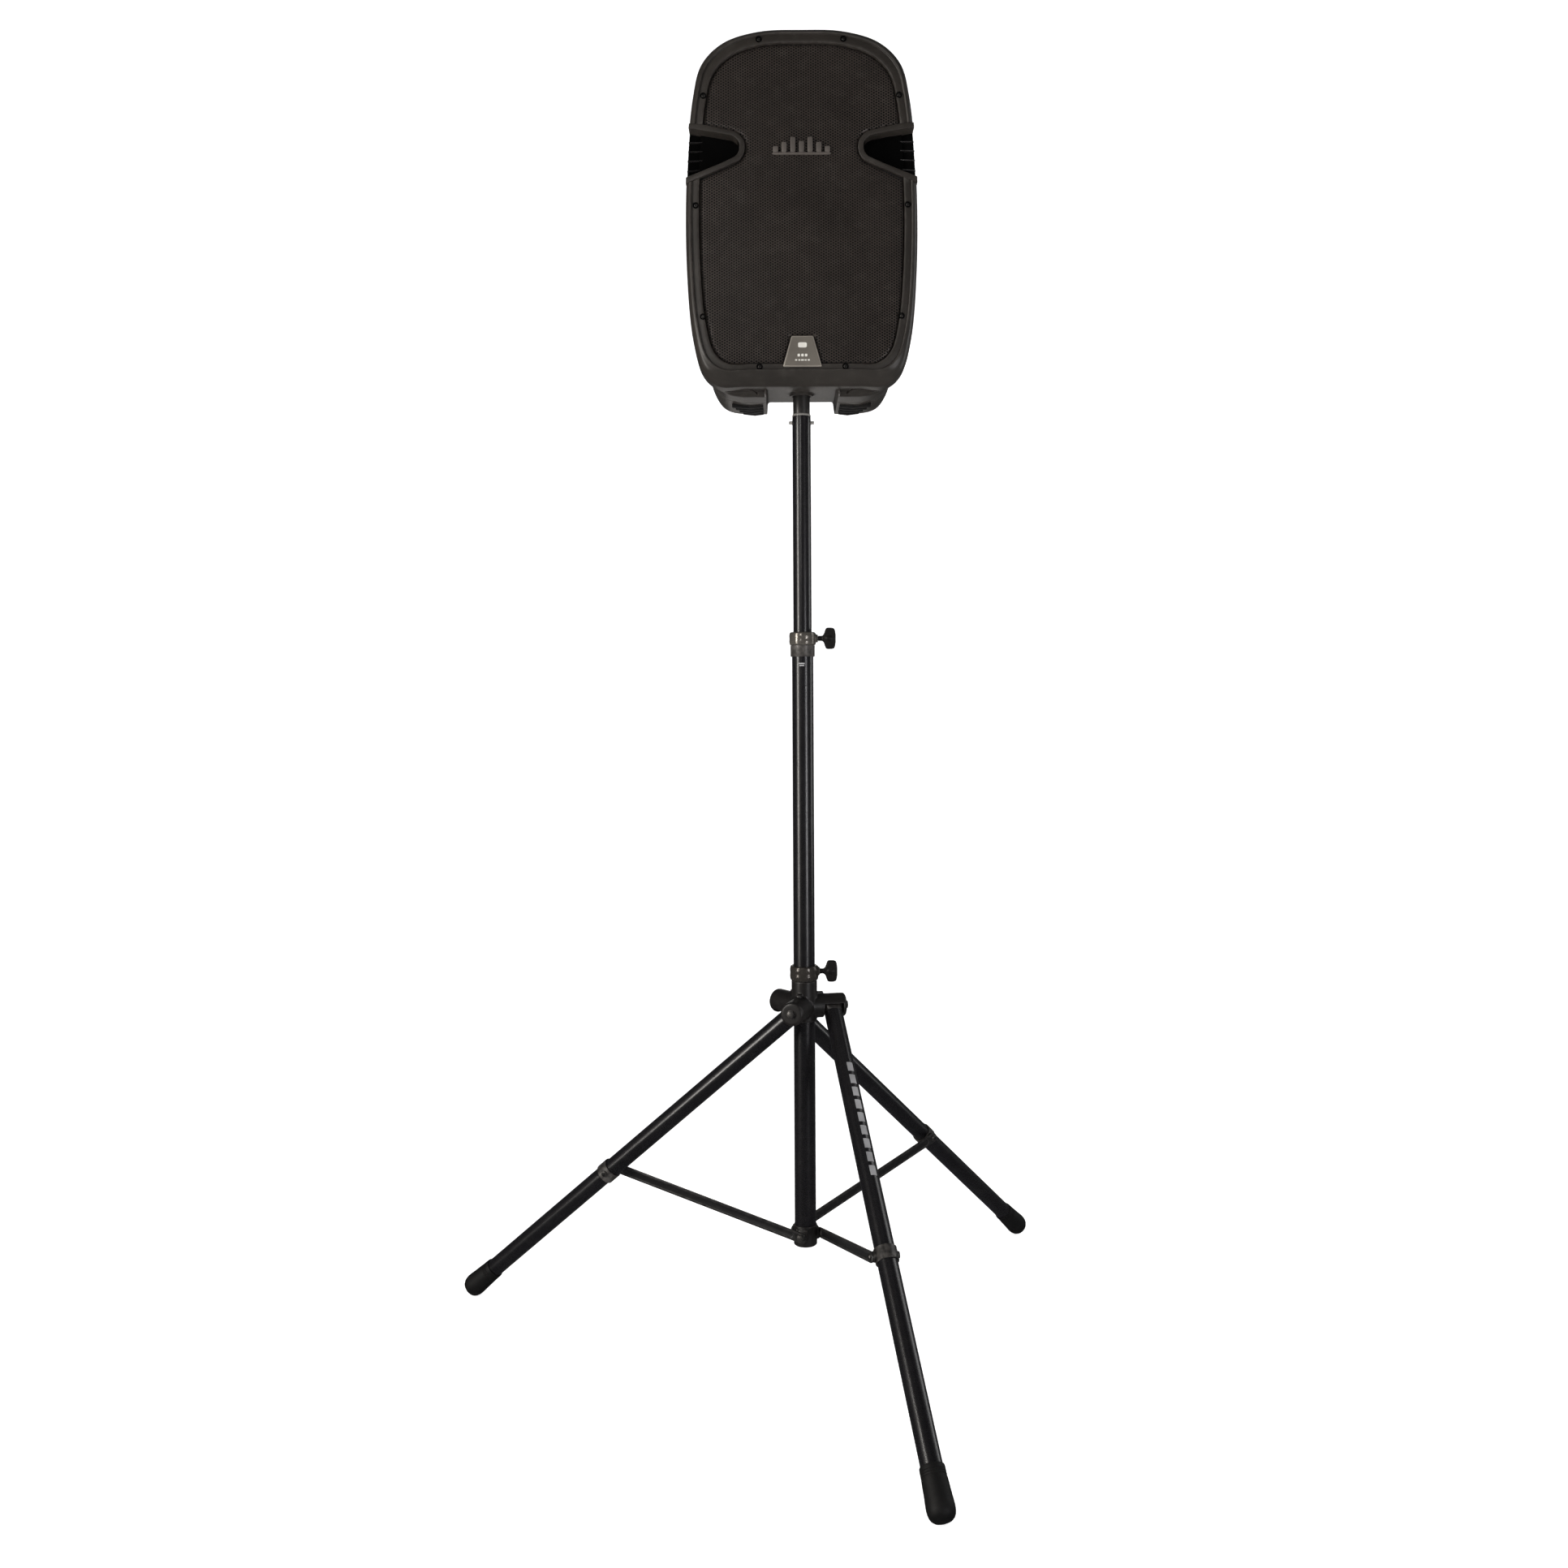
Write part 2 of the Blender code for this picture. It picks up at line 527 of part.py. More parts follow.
def make_rear_housing(looks, seat):
    outer = cabinet(((SEAM_Y + GAP / 2, 1, 0), (FEET_END_Y, 1, 0), (0.115, 1, 0.008), (0.145, 1, 0.022),
                     (0.166, 1, 0.040), (0.176, 1, 0.056), (REAR_Y, 1, 0.064)))  # fmt: skip
    housing = solid("rear_housing", outer, looks["housing"], seat)
    boolean(housing, cutter("rear_notch", notch(), seat))
    cavity = cutter("rear_cavity", cabinet(((SEAM_Y - 0.01, 1, WALL), (FEET_END_Y, 1, 0.006), (0.115, 1, 0.014),
                                            (0.145, 1, 0.032), (0.1640, 1, 0.060))), seat)  # fmt: skip
    boolean(cavity, cutter("rear_notch_wall", notch(WALL), seat))
    boolean(housing, cavity)
    opening = block((-PANEL_HALF_W - GAP, 0.15, PANEL_Z - PANEL_HALF_H - GAP),
                    (PANEL_HALF_W + GAP, 0.20, PANEL_Z + PANEL_HALF_H + GAP))  # fmt: skip
    boolean(housing, cutter("panel_opening", opening, seat))
    boolean(housing, cutter("cup_hole", rod(CUP_R + GAP, -0.02, 0.05, ROUND), seat))


def rounded_box(half_w, half_h, power, sides=24):
    """A superellipse: power 2 is an ellipse, and more is squarer."""
    made = []
    for i in range(sides):
        a = math.tau * (i + 0.5) / sides
        c, s = math.cos(a), math.sin(a)
        made.append((half_w * math.copysign(abs(c) ** (2 / power), c),
                     half_h * math.copysign(abs(s) ** (2 / power), s)))  # fmt: skip
    return made


def make_grille(looks, seat):
    back = GRILLE_Y + GRILLE_T
    grille = solid("grille", slab(grille_outline(), GRILLE_Y, back), looks["grille"], seat)
    foam = solid("grille_foam", slab(grille_outline(-0.002), back + GAP, back + FOAM_T), looks["foam"], seat)
    for piece in (grille, foam):
        for side, name in ((-1, "left"), (1, "right")):
            outline = handle_outline(HANDLE_RIM, side, 2 * GAP)
            boolean(piece, cutter(f"{piece.name}_{name}_notch", slab(outline, -0.21, -0.15), seat))
    badge = ((0.0366, 0.0495), (0.0212, 0.1022), (-0.0212, 0.1022), (-0.0366, 0.0495))
    room = ((0.0401, 0.0395), (0.0218, 0.1028), (-0.0218, 0.1028), (-0.0401, 0.0395))
    boolean(grille, cutter("badge_room", slab(room, -0.21, GRILLE_Y + 0.01), seat))
    plate = solid("badge_plate", slab(badge, GRILLE_Y - 0.0036, GRILLE_Y + 0.0009), looks["badge"], seat)
    bevel(plate, 0.0012)
    make_emblem(looks, seat)


def make_emblem(looks, seat):
    """A row of upright bars of different heights on one strip, like a level meter."""
    low, base, pitch, half = 0.4605, 0.0045, 0.0170, 0.0050
    heights = (0.014, 0.022, 0.032, 0.022, 0.032, 0.022, 0.014)
    last = pitch * (len(heights) - 1) / 2
    comb = [(last + half, low), (-last - half, low)]
    for column, height in enumerate(heights):
        x = pitch * column - last
        comb += [(x - half, low + base), (x - half, low + height), (x + half, low + height), (x + half, low + base)]
    solid("emblem", slab(comb[:2] + comb[3:-1], GRILLE_Y - 0.0035, GRILLE_Y - GAP), looks["badge"], seat)


def make_handle(side, name, looks, seat):
    """A ribbed liner in the recess that a hand reaches into from the front and the side."""
    outline = handle_outline(HANDLE_RIM, side)
    liner = solid(f"handle_{name}", slab(outline, HANDLE_FRONT_Y, HANDLE_BACK_Y), looks["liner"], seat)
    side_wall = cabinet(((-0.30, 1, 0.0006), (0.10, 1, 0.0006)))
    boolean(liner, cutter(f"handle_{name}_side", side_wall, seat), "INTERSECT")
    pocket = slab(handle_outline(HANDLE_POCKET, side), FRONT_Y - 0.02, HANDLE_BACK_Y - 0.004)
    boolean(liner, cutter(f"handle_{name}_pocket", pocket, seat))
    for level in range(5):
        root_z, tip_z = 0.4900 - 0.0086 * level, 0.5010 - 0.0175 * level
        low, high = side * 0.128, side * 0.2165
        rib = [(low, root_z - 0.0008), (high, tip_z - 0.0008), (high, tip_z + 0.0008), (low, root_z + 0.0008)]
        bar = slab(rib, HANDLE_BACK_Y - 0.016, HANDLE_BACK_Y - 0.003)
        boolean(liner, cutter(f"handle_{name}_rib_{level}", bar, seat), "UNION")


def make_woofer(looks, seat):
    axis = empty("woofer_axis", frame((0, 0, WOOFER_Z), (0, -1, 0), (1, 0, 0)), seat)
    face = -BAFFLE_Y + GAP
    basket = ((0.1850, face), (0.1850, face + 0.0045), (0.1600, face + 0.0045), (0.1600, 0.1530),
              (0.0780, 0.0820), (0.0300, 0.0820), (0.0300, 0.0780), (0.0800, 0.0780), (0.1640, 0.1500),
              (0.1664, face))  # fmt: skip
    solid("woofer_basket", turned(basket, 32), looks["steel"], axis)
    rim = ((0.1590, 0.1632), (0.1590, 0.1660), (0.1550, 0.1700), (0.1518, 0.1712), (0.1480, 0.1700),
           (0.1445, 0.1660), (0.1445, 0.1632))  # fmt: skip
    solid("woofer_surround", turned(rim, 32), looks["rubber"], axis)
    cone = ((0.1437, 0.1645), (0.1437, 0.1630), (0.0320, 0.0990), (0.0320, 0.1005))
    solid("woofer_cone", turned(cone, 32), looks["cone"], axis)
    cap = ((0, 0.1110), (0.0440, 0.1110), (0.0440, 0.1125), (0.0250, 0.1210), (0, 0.1240))
    solid("woofer_dust_cap", turned(cap), looks["cone"], axis)
    magnet = ((0, 0.0350), (0.0660, 0.0350), (0.0700, 0.0390), (0.0700, 0.0777), (0, 0.0777))
    solid("woofer_magnet", turned(magnet), looks["steel"], axis)


def make_horn(looks, seat):
    axis = empty("horn_axis", frame((0, 0, HORN_Z), (0, -1, 0), (1, 0, 0)), seat)
    face = -BAFFLE_Y + GAP
    lip = 0.008
    rings = ((0.0165, 0.0165, 2, 0.0600), (0.030, 0.026, 2.4, 0.0900), (0.068, 0.045, 3, 0.1300),
             (HORN_HALF_W - 0.002, HORN_HALF_H - 0.002, 4, face), (HORN_HALF_W + lip, HORN_HALF_H + lip, 4, face),
             (HORN_HALF_W + lip, HORN_HALF_H + lip, 4, face + 0.005),
             (HORN_HALF_W - 0.005, HORN_HALF_H - 0.005, 4, face + 0.005),
             (0.065, 0.042, 3, 0.1310), (0.027, 0.023, 2.4, 0.0900), (0.0130, 0.0130, 2, 0.0600))  # fmt: skip
    shell = loft([[(x, y, z) for x, y in rounded_box(w, h, power)] for w, h, power, z in rings], closed=True)
    solid("horn", shell, looks["cone"], axis)
    driver = ((0, 0.0100), (0.0420, 0.0100), (0.0450, 0.0130), (0.0450, 0.0480), (0.0200, 0.0560),
              (0.0200, 0.0597), (0, 0.0597))  # fmt: skip
    solid("compression_driver", turned(driver, 16), looks["steel"], axis)


def make_amplifier(looks, seat):
    back = PANEL_Y + PANEL_T
    low, high = PANEL_Z - PANEL_HALF_H, PANEL_Z + PANEL_HALF_H
    plate = block((-PANEL_HALF_W, PANEL_Y, low), (PANEL_HALF_W, back, high))
    panel = solid("amp_panel", plate, looks["panel"], seat)
    for number, (x, z) in enumerate(JACKS, 1):
        at = frame((x, 0, z), (0, 1, 0), (1, 0, 0))
        boolean(panel, cutter(f"jack_hole_{number}", rod(0.0143, 0.15, 0.19), seat, at))
        jack = turned(((0, 0.1480), (0.0140, 0.1480), (0.0140, back + 0.003), (0.0105, back + 0.003),
                       (0.0105, back - 0.014), (0, back - 0.014)), SMALL_ROUND)  # fmt: skip
        solid(f"audio_jack_{number}", jack, looks["socket"], seat, at)
    for number, (x, z) in enumerate(KNOBS, 1):
        at = frame((x, 0, z), (0, 1, 0), (1, 0, 0))
        boolean(panel, cutter(f"knob_hole_{number}", rod(0.0033, 0.15, 0.19), seat, at))
        profile = ((0, 0.1560), (0.0030, 0.1560), (0.0030, back + 0.0004), (0.0085, back + 0.0004),
                   (0.0078, back + 0.0130), (0.0068, back + 0.0142), (0, back + 0.0142))  # fmt: skip
        solid(f"level_knob_{number}", turned(profile, SMALL_ROUND), looks["knob"], seat, at)
    x, z = ROCKER
    room = block((x - 0.0113, 0.15, z - 0.0093), (x + 0.0113, 0.19, z + 0.0093))
    boolean(panel, cutter("rocker_room", room, seat))
    side = ((-0.0080, 0.0000), (-0.0080, 0.0052), (0.0, 0.0040), (0.0080, 0.0052), (0.0080, 0.0000), (0.0, -0.0060))
    rocker = loft([[(x_at, y, z_at) for z_at, y in side] for x_at in (-0.0105, 0.0105)])
    turn = Matrix.Translation((x, back - 0.001, z)) @ Matrix.Rotation(math.radians(-ROCKER_TILT), 4, "X")
    solid("power_rocker", rocker, looks["knob"], seat, turn)
    x, z = INLET
    body = solid("power_inlet", block((x - 0.0150, 0.1500, z - 0.0120), (x + 0.0150, back + 0.002, z + 0.0120)),
                 looks["socket"], seat)  # fmt: skip
    recess = block((x - 0.0120, back - 0.016, z - 0.0085), (x + 0.0120, back + 0.01, z + 0.0085))
    boolean(body, cutter("inlet_recess", recess, seat))
    room = block((x - 0.0153, 0.14, z - 0.0123), (x + 0.0153, 0.19, z + 0.0123))
    boolean(panel, cutter("inlet_room", room, seat))
    make_heat_sink(looks, seat, back + GAP)
    make_board(looks, seat)


def make_board(looks, seat):
    """The amplifier's circuit board, with its transformer and two capacitors."""
    face = 0.1340
    made = solid("amp_board", block((-0.100, face, 0.150), (0.100, face + 0.002, 0.450)), looks["board"], seat)
    transformer = block((-0.050, 0.0900, 0.360), (0.030, face + 0.001, 0.430))
    boolean(made, cutter("transformer", transformer, seat), "UNION")
    for number, x in enumerate((0.055, 0.085), 1):
        at = frame((x, 0, 0.395), (0, 1, 0), (1, 0, 0))
        boolean(made, cutter(f"capacitor_{number}", rod(0.011, 0.0950, face + 0.001, 12), seat, at), "UNION")


def make_heat_sink(looks, seat, base):
    """Upright fins on a plate, drawn as a comb and extruded upwards."""
    half, fins, thick = 0.100, 13, 0.0022
    pitch = (2 * half - thick) / (fins - 1)
    comb = [(-half, base), (half, base)]
    for i in reversed(range(fins)):
        left = -half + i * pitch
        comb += [(left + thick, base + 0.003), (left + thick, base + 0.0145), (left, base + 0.0145),
                 (left, base + 0.003)]  # fmt: skip
    solid("heat_sink", prism(comb[:2] + comb[3:-1], 0.330, 0.455), looks["fins"], seat)


def make_pole_cup(looks, seat):
    bore_top = CUP_TOP_Z - 0.006
    floor_z = NOTCH_H + WALL + GAP
    profile = ((0, bore_top), (CUP_BORE_R, bore_top), (CUP_BORE_R, CUP_FOOT_Z), (CUP_R, CUP_FOOT_Z),
               (CUP_R, floor_z), (0.0360, floor_z), (0.0360, floor_z + 0.005), (CUP_R, floor_z + 0.005),
               (CUP_R - 0.001, CUP_TOP_Z), (0, CUP_TOP_Z))  # fmt: skip
    solid("pole_cup", turned(profile), looks["liner"], seat)
    bush = tube(CUP_BORE_R - GAP, SPIGOT_R + GAP, CUP_FOOT_Z + 0.0020, 0.1300)
    solid("socket_bush", bush, looks["nylon"], seat)


def main():
    clear_scene()
    looks = {
        "housing": material("housing", (0.042, 0.036, 0.031), 0.55),
        "grille": material("grille", (0.036, 0.031, 0.027), 0.50, 0.6),
        "foam": material("foam", (0.010, 0.010, 0.010), 0.95),
        "badge": material("badge", (0.090, 0.085, 0.075), 0.40, 0.3),
        "liner": material("liner", (0.010, 0.010, 0.010), 0.60),
        "tube": material("tube", (0.010, 0.010, 0.012), 0.38, 0.5),
        "brace": material("brace", (0.012, 0.012, 0.013), 0.42, 0.5),
        "cast": material("cast", (0.035, 0.033, 0.030), 0.45, 0.4),
        "knob": material("knob", (0.015, 0.015, 0.015), 0.50),
        "rubber": material("rubber", (0.008, 0.008, 0.008), 0.80),
        "bolt": material("bolt", (0.450, 0.440, 0.420), 0.30, 1.0),
        "spigot": material("spigot", (0.120, 0.115, 0.105), 0.40, 0.9),
        "nylon": material("nylon", (0.060, 0.060, 0.058), 0.60),
        "steel": material("steel", (0.080, 0.080, 0.080), 0.45, 0.9),
        "cone": material("cone", (0.012, 0.012, 0.012), 0.75),
        "panel": material("panel", (0.020, 0.020, 0.020), 0.50, 0.3),
        "fins": material("fins", (0.018, 0.018, 0.018), 0.45, 0.8),
        "socket": material("socket", (0.012, 0.012, 0.012), 0.50),
        "board": material("board", (0.020, 0.090, 0.045), 0.60),
    }
    root = empty("mast", Matrix.Translation(mast_place()))
    make_mast(looks, root)
    make_pole(looks, root)
    make_knob("collar_knob", COLLAR_KNOB_Z, POLE_R + 0.0004, looks, root)
    hub_axis = make_hub(looks, root)
    make_knob("hub_knob", HUB_KNOB_Z - PIVOT_Z, MAIN_R + 0.0004, looks, hub_axis)
    for number, bearing in enumerate(LEG_BEARINGS, 1):
        make_leg(number, bearing, looks, hub_axis)
        make_brace(number, bearing, looks, root)
    seat = empty("speaker_seat", Matrix.Translation((0, 0, FEET_Z)), root)
    make_front_housing(looks, seat)
    make_rear_housing(looks, seat)
    make_grille(looks, seat)
    for side, name in ((-1, "left"), (1, "right")):
        make_handle(side, name, looks, seat)
    make_woofer(looks, seat)
    make_horn(looks, seat)
    make_amplifier(looks, seat)
    make_pole_cup(looks, seat)


main()
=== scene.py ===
"""Looks for the loudspeaker on its tripod stand: smooth shells, a perforated grille, castings, tubes, knobs
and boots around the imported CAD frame, with a camera, soft studio light and a pale floor."""

import json
import math

import bmesh
import bpy
import numpy as np
from mathutils import Matrix, Vector


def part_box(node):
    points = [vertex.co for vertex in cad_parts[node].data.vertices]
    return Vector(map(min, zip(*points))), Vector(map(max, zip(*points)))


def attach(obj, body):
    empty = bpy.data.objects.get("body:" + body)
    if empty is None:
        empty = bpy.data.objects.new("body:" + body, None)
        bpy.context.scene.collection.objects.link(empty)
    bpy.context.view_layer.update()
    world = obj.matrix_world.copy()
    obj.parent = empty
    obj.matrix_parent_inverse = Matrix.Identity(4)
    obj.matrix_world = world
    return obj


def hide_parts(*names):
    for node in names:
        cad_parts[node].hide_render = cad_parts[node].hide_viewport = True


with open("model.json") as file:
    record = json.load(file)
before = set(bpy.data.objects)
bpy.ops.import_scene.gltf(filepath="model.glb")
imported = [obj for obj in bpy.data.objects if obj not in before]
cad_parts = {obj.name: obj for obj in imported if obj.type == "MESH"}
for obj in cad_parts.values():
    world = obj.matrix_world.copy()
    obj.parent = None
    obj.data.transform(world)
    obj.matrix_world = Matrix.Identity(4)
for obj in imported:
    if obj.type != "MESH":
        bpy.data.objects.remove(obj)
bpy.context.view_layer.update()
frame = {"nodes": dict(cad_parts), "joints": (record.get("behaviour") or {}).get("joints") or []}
NODES = frame["nodes"]
JOINTS = {joint["name"]: joint for joint in frame["joints"]}


def centre_of(node):
    low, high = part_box(node)
    return (low + high) / 2


# Places and sizes from the frame, in metres
MAST = Vector((centre_of("main_tube").x, centre_of("main_tube").y, 0))
FEET_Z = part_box("rear_housing")[0].z
SEAT = Matrix.Translation((MAST.x, MAST.y, FEET_Z))
MAST_AT = Matrix.Translation(MAST)
MAIN_R = (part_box("main_tube")[1].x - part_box("main_tube")[0].x) / 2
POLE_R = (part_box("pole")[1].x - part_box("pole")[0].x) / 2
SEAM_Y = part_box("rear_housing")[0].y - MAST.y
REAR_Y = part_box("rear_housing")[1].y - MAST.y
FRONT_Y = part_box("front_housing")[0].y - MAST.y
PANEL_LOW, PANEL_HIGH = (corner - SEAT.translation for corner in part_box("amp_panel"))
FACE_Y = PANEL_HIGH.y
GAP = 0.0003
BRACKET_FIT = MAIN_R + 0.0004  # the bore of a casting fixed on the main tube
SCREW_HOLE_R, PIN_HOLE_R, CUP_HOLE_R = 0.0046, 0.0043, 0.0262
WALL = 0.005  # of the cabinet's shells
LEGS = (1, 2, 3)

# The legs' and braces' pivots
LEG_R, LEG_TILT, LEG_TIP, LEG_START = 0.01905, math.radians(49.0), 1.0115, 0.0220
BRACE_JOINT, BARREL_R, BARREL_END = 0.5605, 0.0245, 0.0870
SLOT_FROM, SLOT_TO, SIDE_LEG, SIDE_BRACE = 0.0385, 0.0795, 0.0589, 0.0305
PIVOT_Z = JOINTS["leg_1_fold"]["pos_m"][2]
BRACE_PIN_Z = JOINTS["brace_1_fold"]["pos_m"][2]

# Cabinet outlines from the bottom centre round to the top centre, as (x, z) above its feet
FRONT_OUTLINE = ((0.000, 0.0095), (0.110, 0.0095), (0.166, 0.0105), (0.196, 0.0340), (0.2152, 0.098),
    (0.2275, 0.240), (0.2272, 0.420), (0.214, 0.5785), (0.197, 0.642), (0.155, 0.6835), (0.085, 0.7055),
    (0.000, 0.7090))
BODY_OUTLINE = ((0.000, 0.000), (0.118, 0.000), (0.159, 0.010), (0.181, 0.038), (0.202, 0.115),
    (0.219, 0.240), (0.225, 0.400), (0.213, 0.560), (0.192, 0.632), (0.150, 0.674), (0.080, 0.697),
    (0.000, 0.702))
MID_Z, HALF_W, HALF_H = 0.3606, 0.2286, 0.3510
RIM = (0.9560, 0.9480, 0.0070)  # the flat band's outer edge: the front outline's width, height and lift
GRILLE = (0.8800, 0.8990, 0.0034)  # the grille's edge, in the same way
HANDLE_RIM = ((0.250, 0.5215), (0.196, 0.5185), (0.126, 0.5025), (0.1110, 0.4850), (0.1110, 0.4650),
    (0.1200, 0.4480), (0.154, 0.4325), (0.201, 0.4125), (0.250, 0.3925))
HANDLE_POCKET = ((0.260, 0.5120), (0.2145, 0.5095), (0.174, 0.5030), (0.134, 0.4955), (0.1218, 0.4840),
    (0.1218, 0.4665), (0.1290, 0.4552), (0.159, 0.4412), (0.2175, 0.4175), (0.260, 0.4010))
HANDLE_BACK_Y, AHEAD_Y = -0.1220, -0.21  # the handles' backs, and a place ahead of the whole cabinet
# the floor is painted near black as painted shade over its black plastic
HANDLE_FLOOR = (  # the black floor of a handle's pocket, as (x, y)
    (0.1150, -0.1380), (0.1250, -0.1380), (0.2300, -0.1580), (0.2400, -0.1580), (0.2400, -0.1270),
    (0.1150, -0.1270),
)
RIBS = (  # each rib's inner end, as (x, z), and its outer end's z
    (0.1760, 0.5137, 0.5106), (0.1300, 0.4980, 0.4912), (0.1300, 0.4820, 0.4727), (0.1300, 0.4650, 0.4538),
    (0.1890, 0.4400, 0.4334),
)
CHIN_TOP, CHIN_SLOPE = 0.0365, 0.62
CREASE = (  # the crease under each side of the chin: x, y, half its width, and how high it cuts
    (0.1740, -0.1130, 0.0012, 0.0062), (0.1500, -0.1190, 0.0034, 0.0090), (0.1080, -0.1320, 0.0030, 0.0130),
    (0.1000, -0.1260, 0.0060, 0.0115), (0.0900, -0.1100, 0.0030, 0.0075),
)
BADGE = ((0.0384, 0.0418), (0.0212, 0.1022), (-0.0212, 0.1022), (-0.0384, 0.0418))
SCREWS = ((0.083, 0.6842), (0.1920, 0.5740), (0.2080, 0.3590), (0.1947, 0.1410), (0.0843, 0.0424))
NOTCH_HALF_W, NOTCH_H, NOTCH_Y, FEET_END_Y = 0.0735, 0.0255, -0.1320, 0.0830


# ---------------------------------------------------------------- materials


LOOKS = {}


def surface(name, colour, roughness, metallic=0.0, mottle=0.12, grain=700.0, bump=0.12, wear=0.0,
        worn=(0.30, 0.28, 0.26), dust=0.0, coat=0.0, shine=0.5):
    """Adds a procedural finish to LOOKS: uneven colour, grain in bump and roughness, worn edges, dust."""
    made = bpy.data.materials.new(name)
    made.use_nodes = True
    tree = made.node_tree
    node = tree.nodes
    link = tree.links.new
    shader = node["Principled BSDF"]
    shader.inputs["Metallic"].default_value = metallic
    shader.inputs["Specular IOR Level"].default_value = shine
    shader.inputs["Coat Weight"].default_value = coat
    shader.inputs["Coat Roughness"].default_value = 0.25
    place = node.new("ShaderNodeTexCoord").outputs["Object"]

    def noise(scale, detail):
        made_noise = node.new("ShaderNodeTexNoise")
        made_noise.inputs["Scale"].default_value = scale
        made_noise.inputs["Detail"].default_value = detail
        link(place, made_noise.inputs["Vector"])
        return made_noise.outputs["Fac"]

    def ranged(value, low, high, to_low, to_high):
        step = node.new("ShaderNodeMapRange")
        for socket, number in (("From Min", low), ("From Max", high), ("To Min", to_low),
                ("To Max", to_high)):
            step.inputs[socket].default_value = number
        link(value, step.inputs["Value"])
        return step.outputs["Result"]

    def mixed(factor, low, high):
        mix = node.new("ShaderNodeMix")
        mix.data_type = "RGBA"
        link(factor, mix.inputs["Factor"])
        for socket, value in ((mix.inputs["A"], low), (mix.inputs["B"], high)):
            if isinstance(value, tuple):
                socket.default_value = (*value, 1)
            else:
                link(value, socket)
        return mix.outputs["Result"]

    dark = tuple(c * (1 - mottle) for c in colour)
    light = tuple(c * (1 + mottle) for c in colour)
    broad, fine = noise(14.0, 5.0), noise(grain, 3.0)
    tone = mixed(ranged(broad, 0.35, 0.65, 0, 1), dark, light)
    if wear:
        edge = ranged(node.new("ShaderNodeNewGeometry").outputs["Pointiness"], 0.52, 0.60, 0, wear)
        scuffed = node.new("ShaderNodeMath")
        scuffed.operation = "MULTIPLY"
        link(edge, scuffed.inputs[0])
        link(ranged(noise(90.0, 4.0), 0.40, 0.60, 0.2, 1), scuffed.inputs[1])
        tone = mixed(scuffed.outputs["Value"], tone, worn)
    if dust:
        tone = mixed(ranged(noise(45.0, 6.0), 0.52, 0.80, 0, dust), tone, (0.26, 0.24, 0.21))
    link(tone, shader.inputs["Base Color"])
    spread = 0.08
    link(ranged(fine, 0.30, 0.70, roughness - spread, roughness + spread), shader.inputs["Roughness"])
    if bump:
        step = node.new("ShaderNodeBump")
        step.inputs["Strength"].default_value = bump
        step.inputs["Distance"].default_value = 0.0004
        link(fine, step.inputs["Height"])
        link(step.outputs["Normal"], shader.inputs["Normal"])
    LOOKS[name] = made


surface("housing", (0.024, 0.0205, 0.0175), 0.40, grain=900, bump=0.22, wear=0.14, dust=0.04,
    shine=0.42)
surface("grille", (0.044, 0.036, 0.031), 0.36, 0.25, grain=1500, bump=0.08, dust=0.08)
surface("foam", (0.004, 0.004, 0.004), 0.95, grain=1200, bump=0.9, mottle=0.3)
surface("badge", (0.270, 0.245, 0.212), 0.36, 0.30, grain=1200, bump=0.05)
surface("mark", (0.70, 0.68, 0.63), 0.45, bump=0.0, mottle=0.05)
surface("emblem", (0.105, 0.092, 0.082), 0.42, 0.2, grain=1200, bump=0.08)
# liner: near black and almost unreflective, painted shade in the recesses it lines: the screw wells, the
# handle pockets over their black plastic, and the board behind the grille
surface("liner", (0.0012, 0.0012, 0.0012), 0.50, grain=1000, bump=0.10, mottle=0.3, shine=0.04)
surface("screw", (0.030, 0.029, 0.028), 0.34, 0.9, grain=2500, bump=0.05, wear=0.5)
surface("tube", (0.0055, 0.0050, 0.0062), 0.28, 0.0, grain=1600, bump=0.05, dust=0.02, coat=0.25)
surface("brace", (0.0080, 0.0076, 0.0080), 0.34, 0.0, grain=1600, bump=0.08, wear=0.3, dust=0.03,
    coat=0.15)
surface("cast", (0.0105, 0.0090, 0.0085), 0.40, 0.08, grain=500, bump=0.30, wear=0.35, dust=0.03)
# ring: the clamp rings' cast finish, painted lighter on the collar's ring than on the hub's ring as painted
# light
surface("ring", (0.150, 0.137, 0.121), 0.20, 0.55, grain=350, bump=0.25, wear=0.6,
    worn=(0.55, 0.52, 0.48))
# the same cast finish as ring, painted darker on the hub's ring as painted shade
surface("hub_ring_painted_shade", (0.060, 0.054, 0.048), 0.20, 0.55, grain=350, bump=0.25, wear=0.6,
    worn=(0.50, 0.47, 0.43))
surface("sleeve", (0.026, 0.023, 0.021), 0.40, 0.25, grain=500, bump=0.20, wear=0.3)
surface("knob", (0.0065, 0.0055, 0.0050), 0.45, grain=900, bump=0.15, wear=0.2, dust=0.02, shine=0.3)
surface("rubber", (0.0040, 0.0038, 0.0038), 0.60, grain=800, bump=0.25, dust=0.02, shine=0.3)
surface("bolt", (0.42, 0.41, 0.39), 0.30, 1.0, grain=1800, bump=0.08, mottle=0.2)
surface("black_bolt", (0.030, 0.030, 0.030), 0.35, 0.8, grain=1800, bump=0.08, wear=0.5)
surface("spigot", (0.060, 0.058, 0.056), 0.36, 0.8, grain=1200, bump=0.10, wear=0.3)
surface("nylon", (0.040, 0.040, 0.039), 0.50, grain=900, bump=0.10)
surface("steel", (0.060, 0.060, 0.060), 0.42, 0.8, grain=900, bump=0.10)
surface("cone", (0.010, 0.010, 0.010), 0.80, grain=600, bump=0.30)
surface("panel", (0.016, 0.016, 0.016), 0.46, 0.2, grain=1500, bump=0.10, dust=0.06)
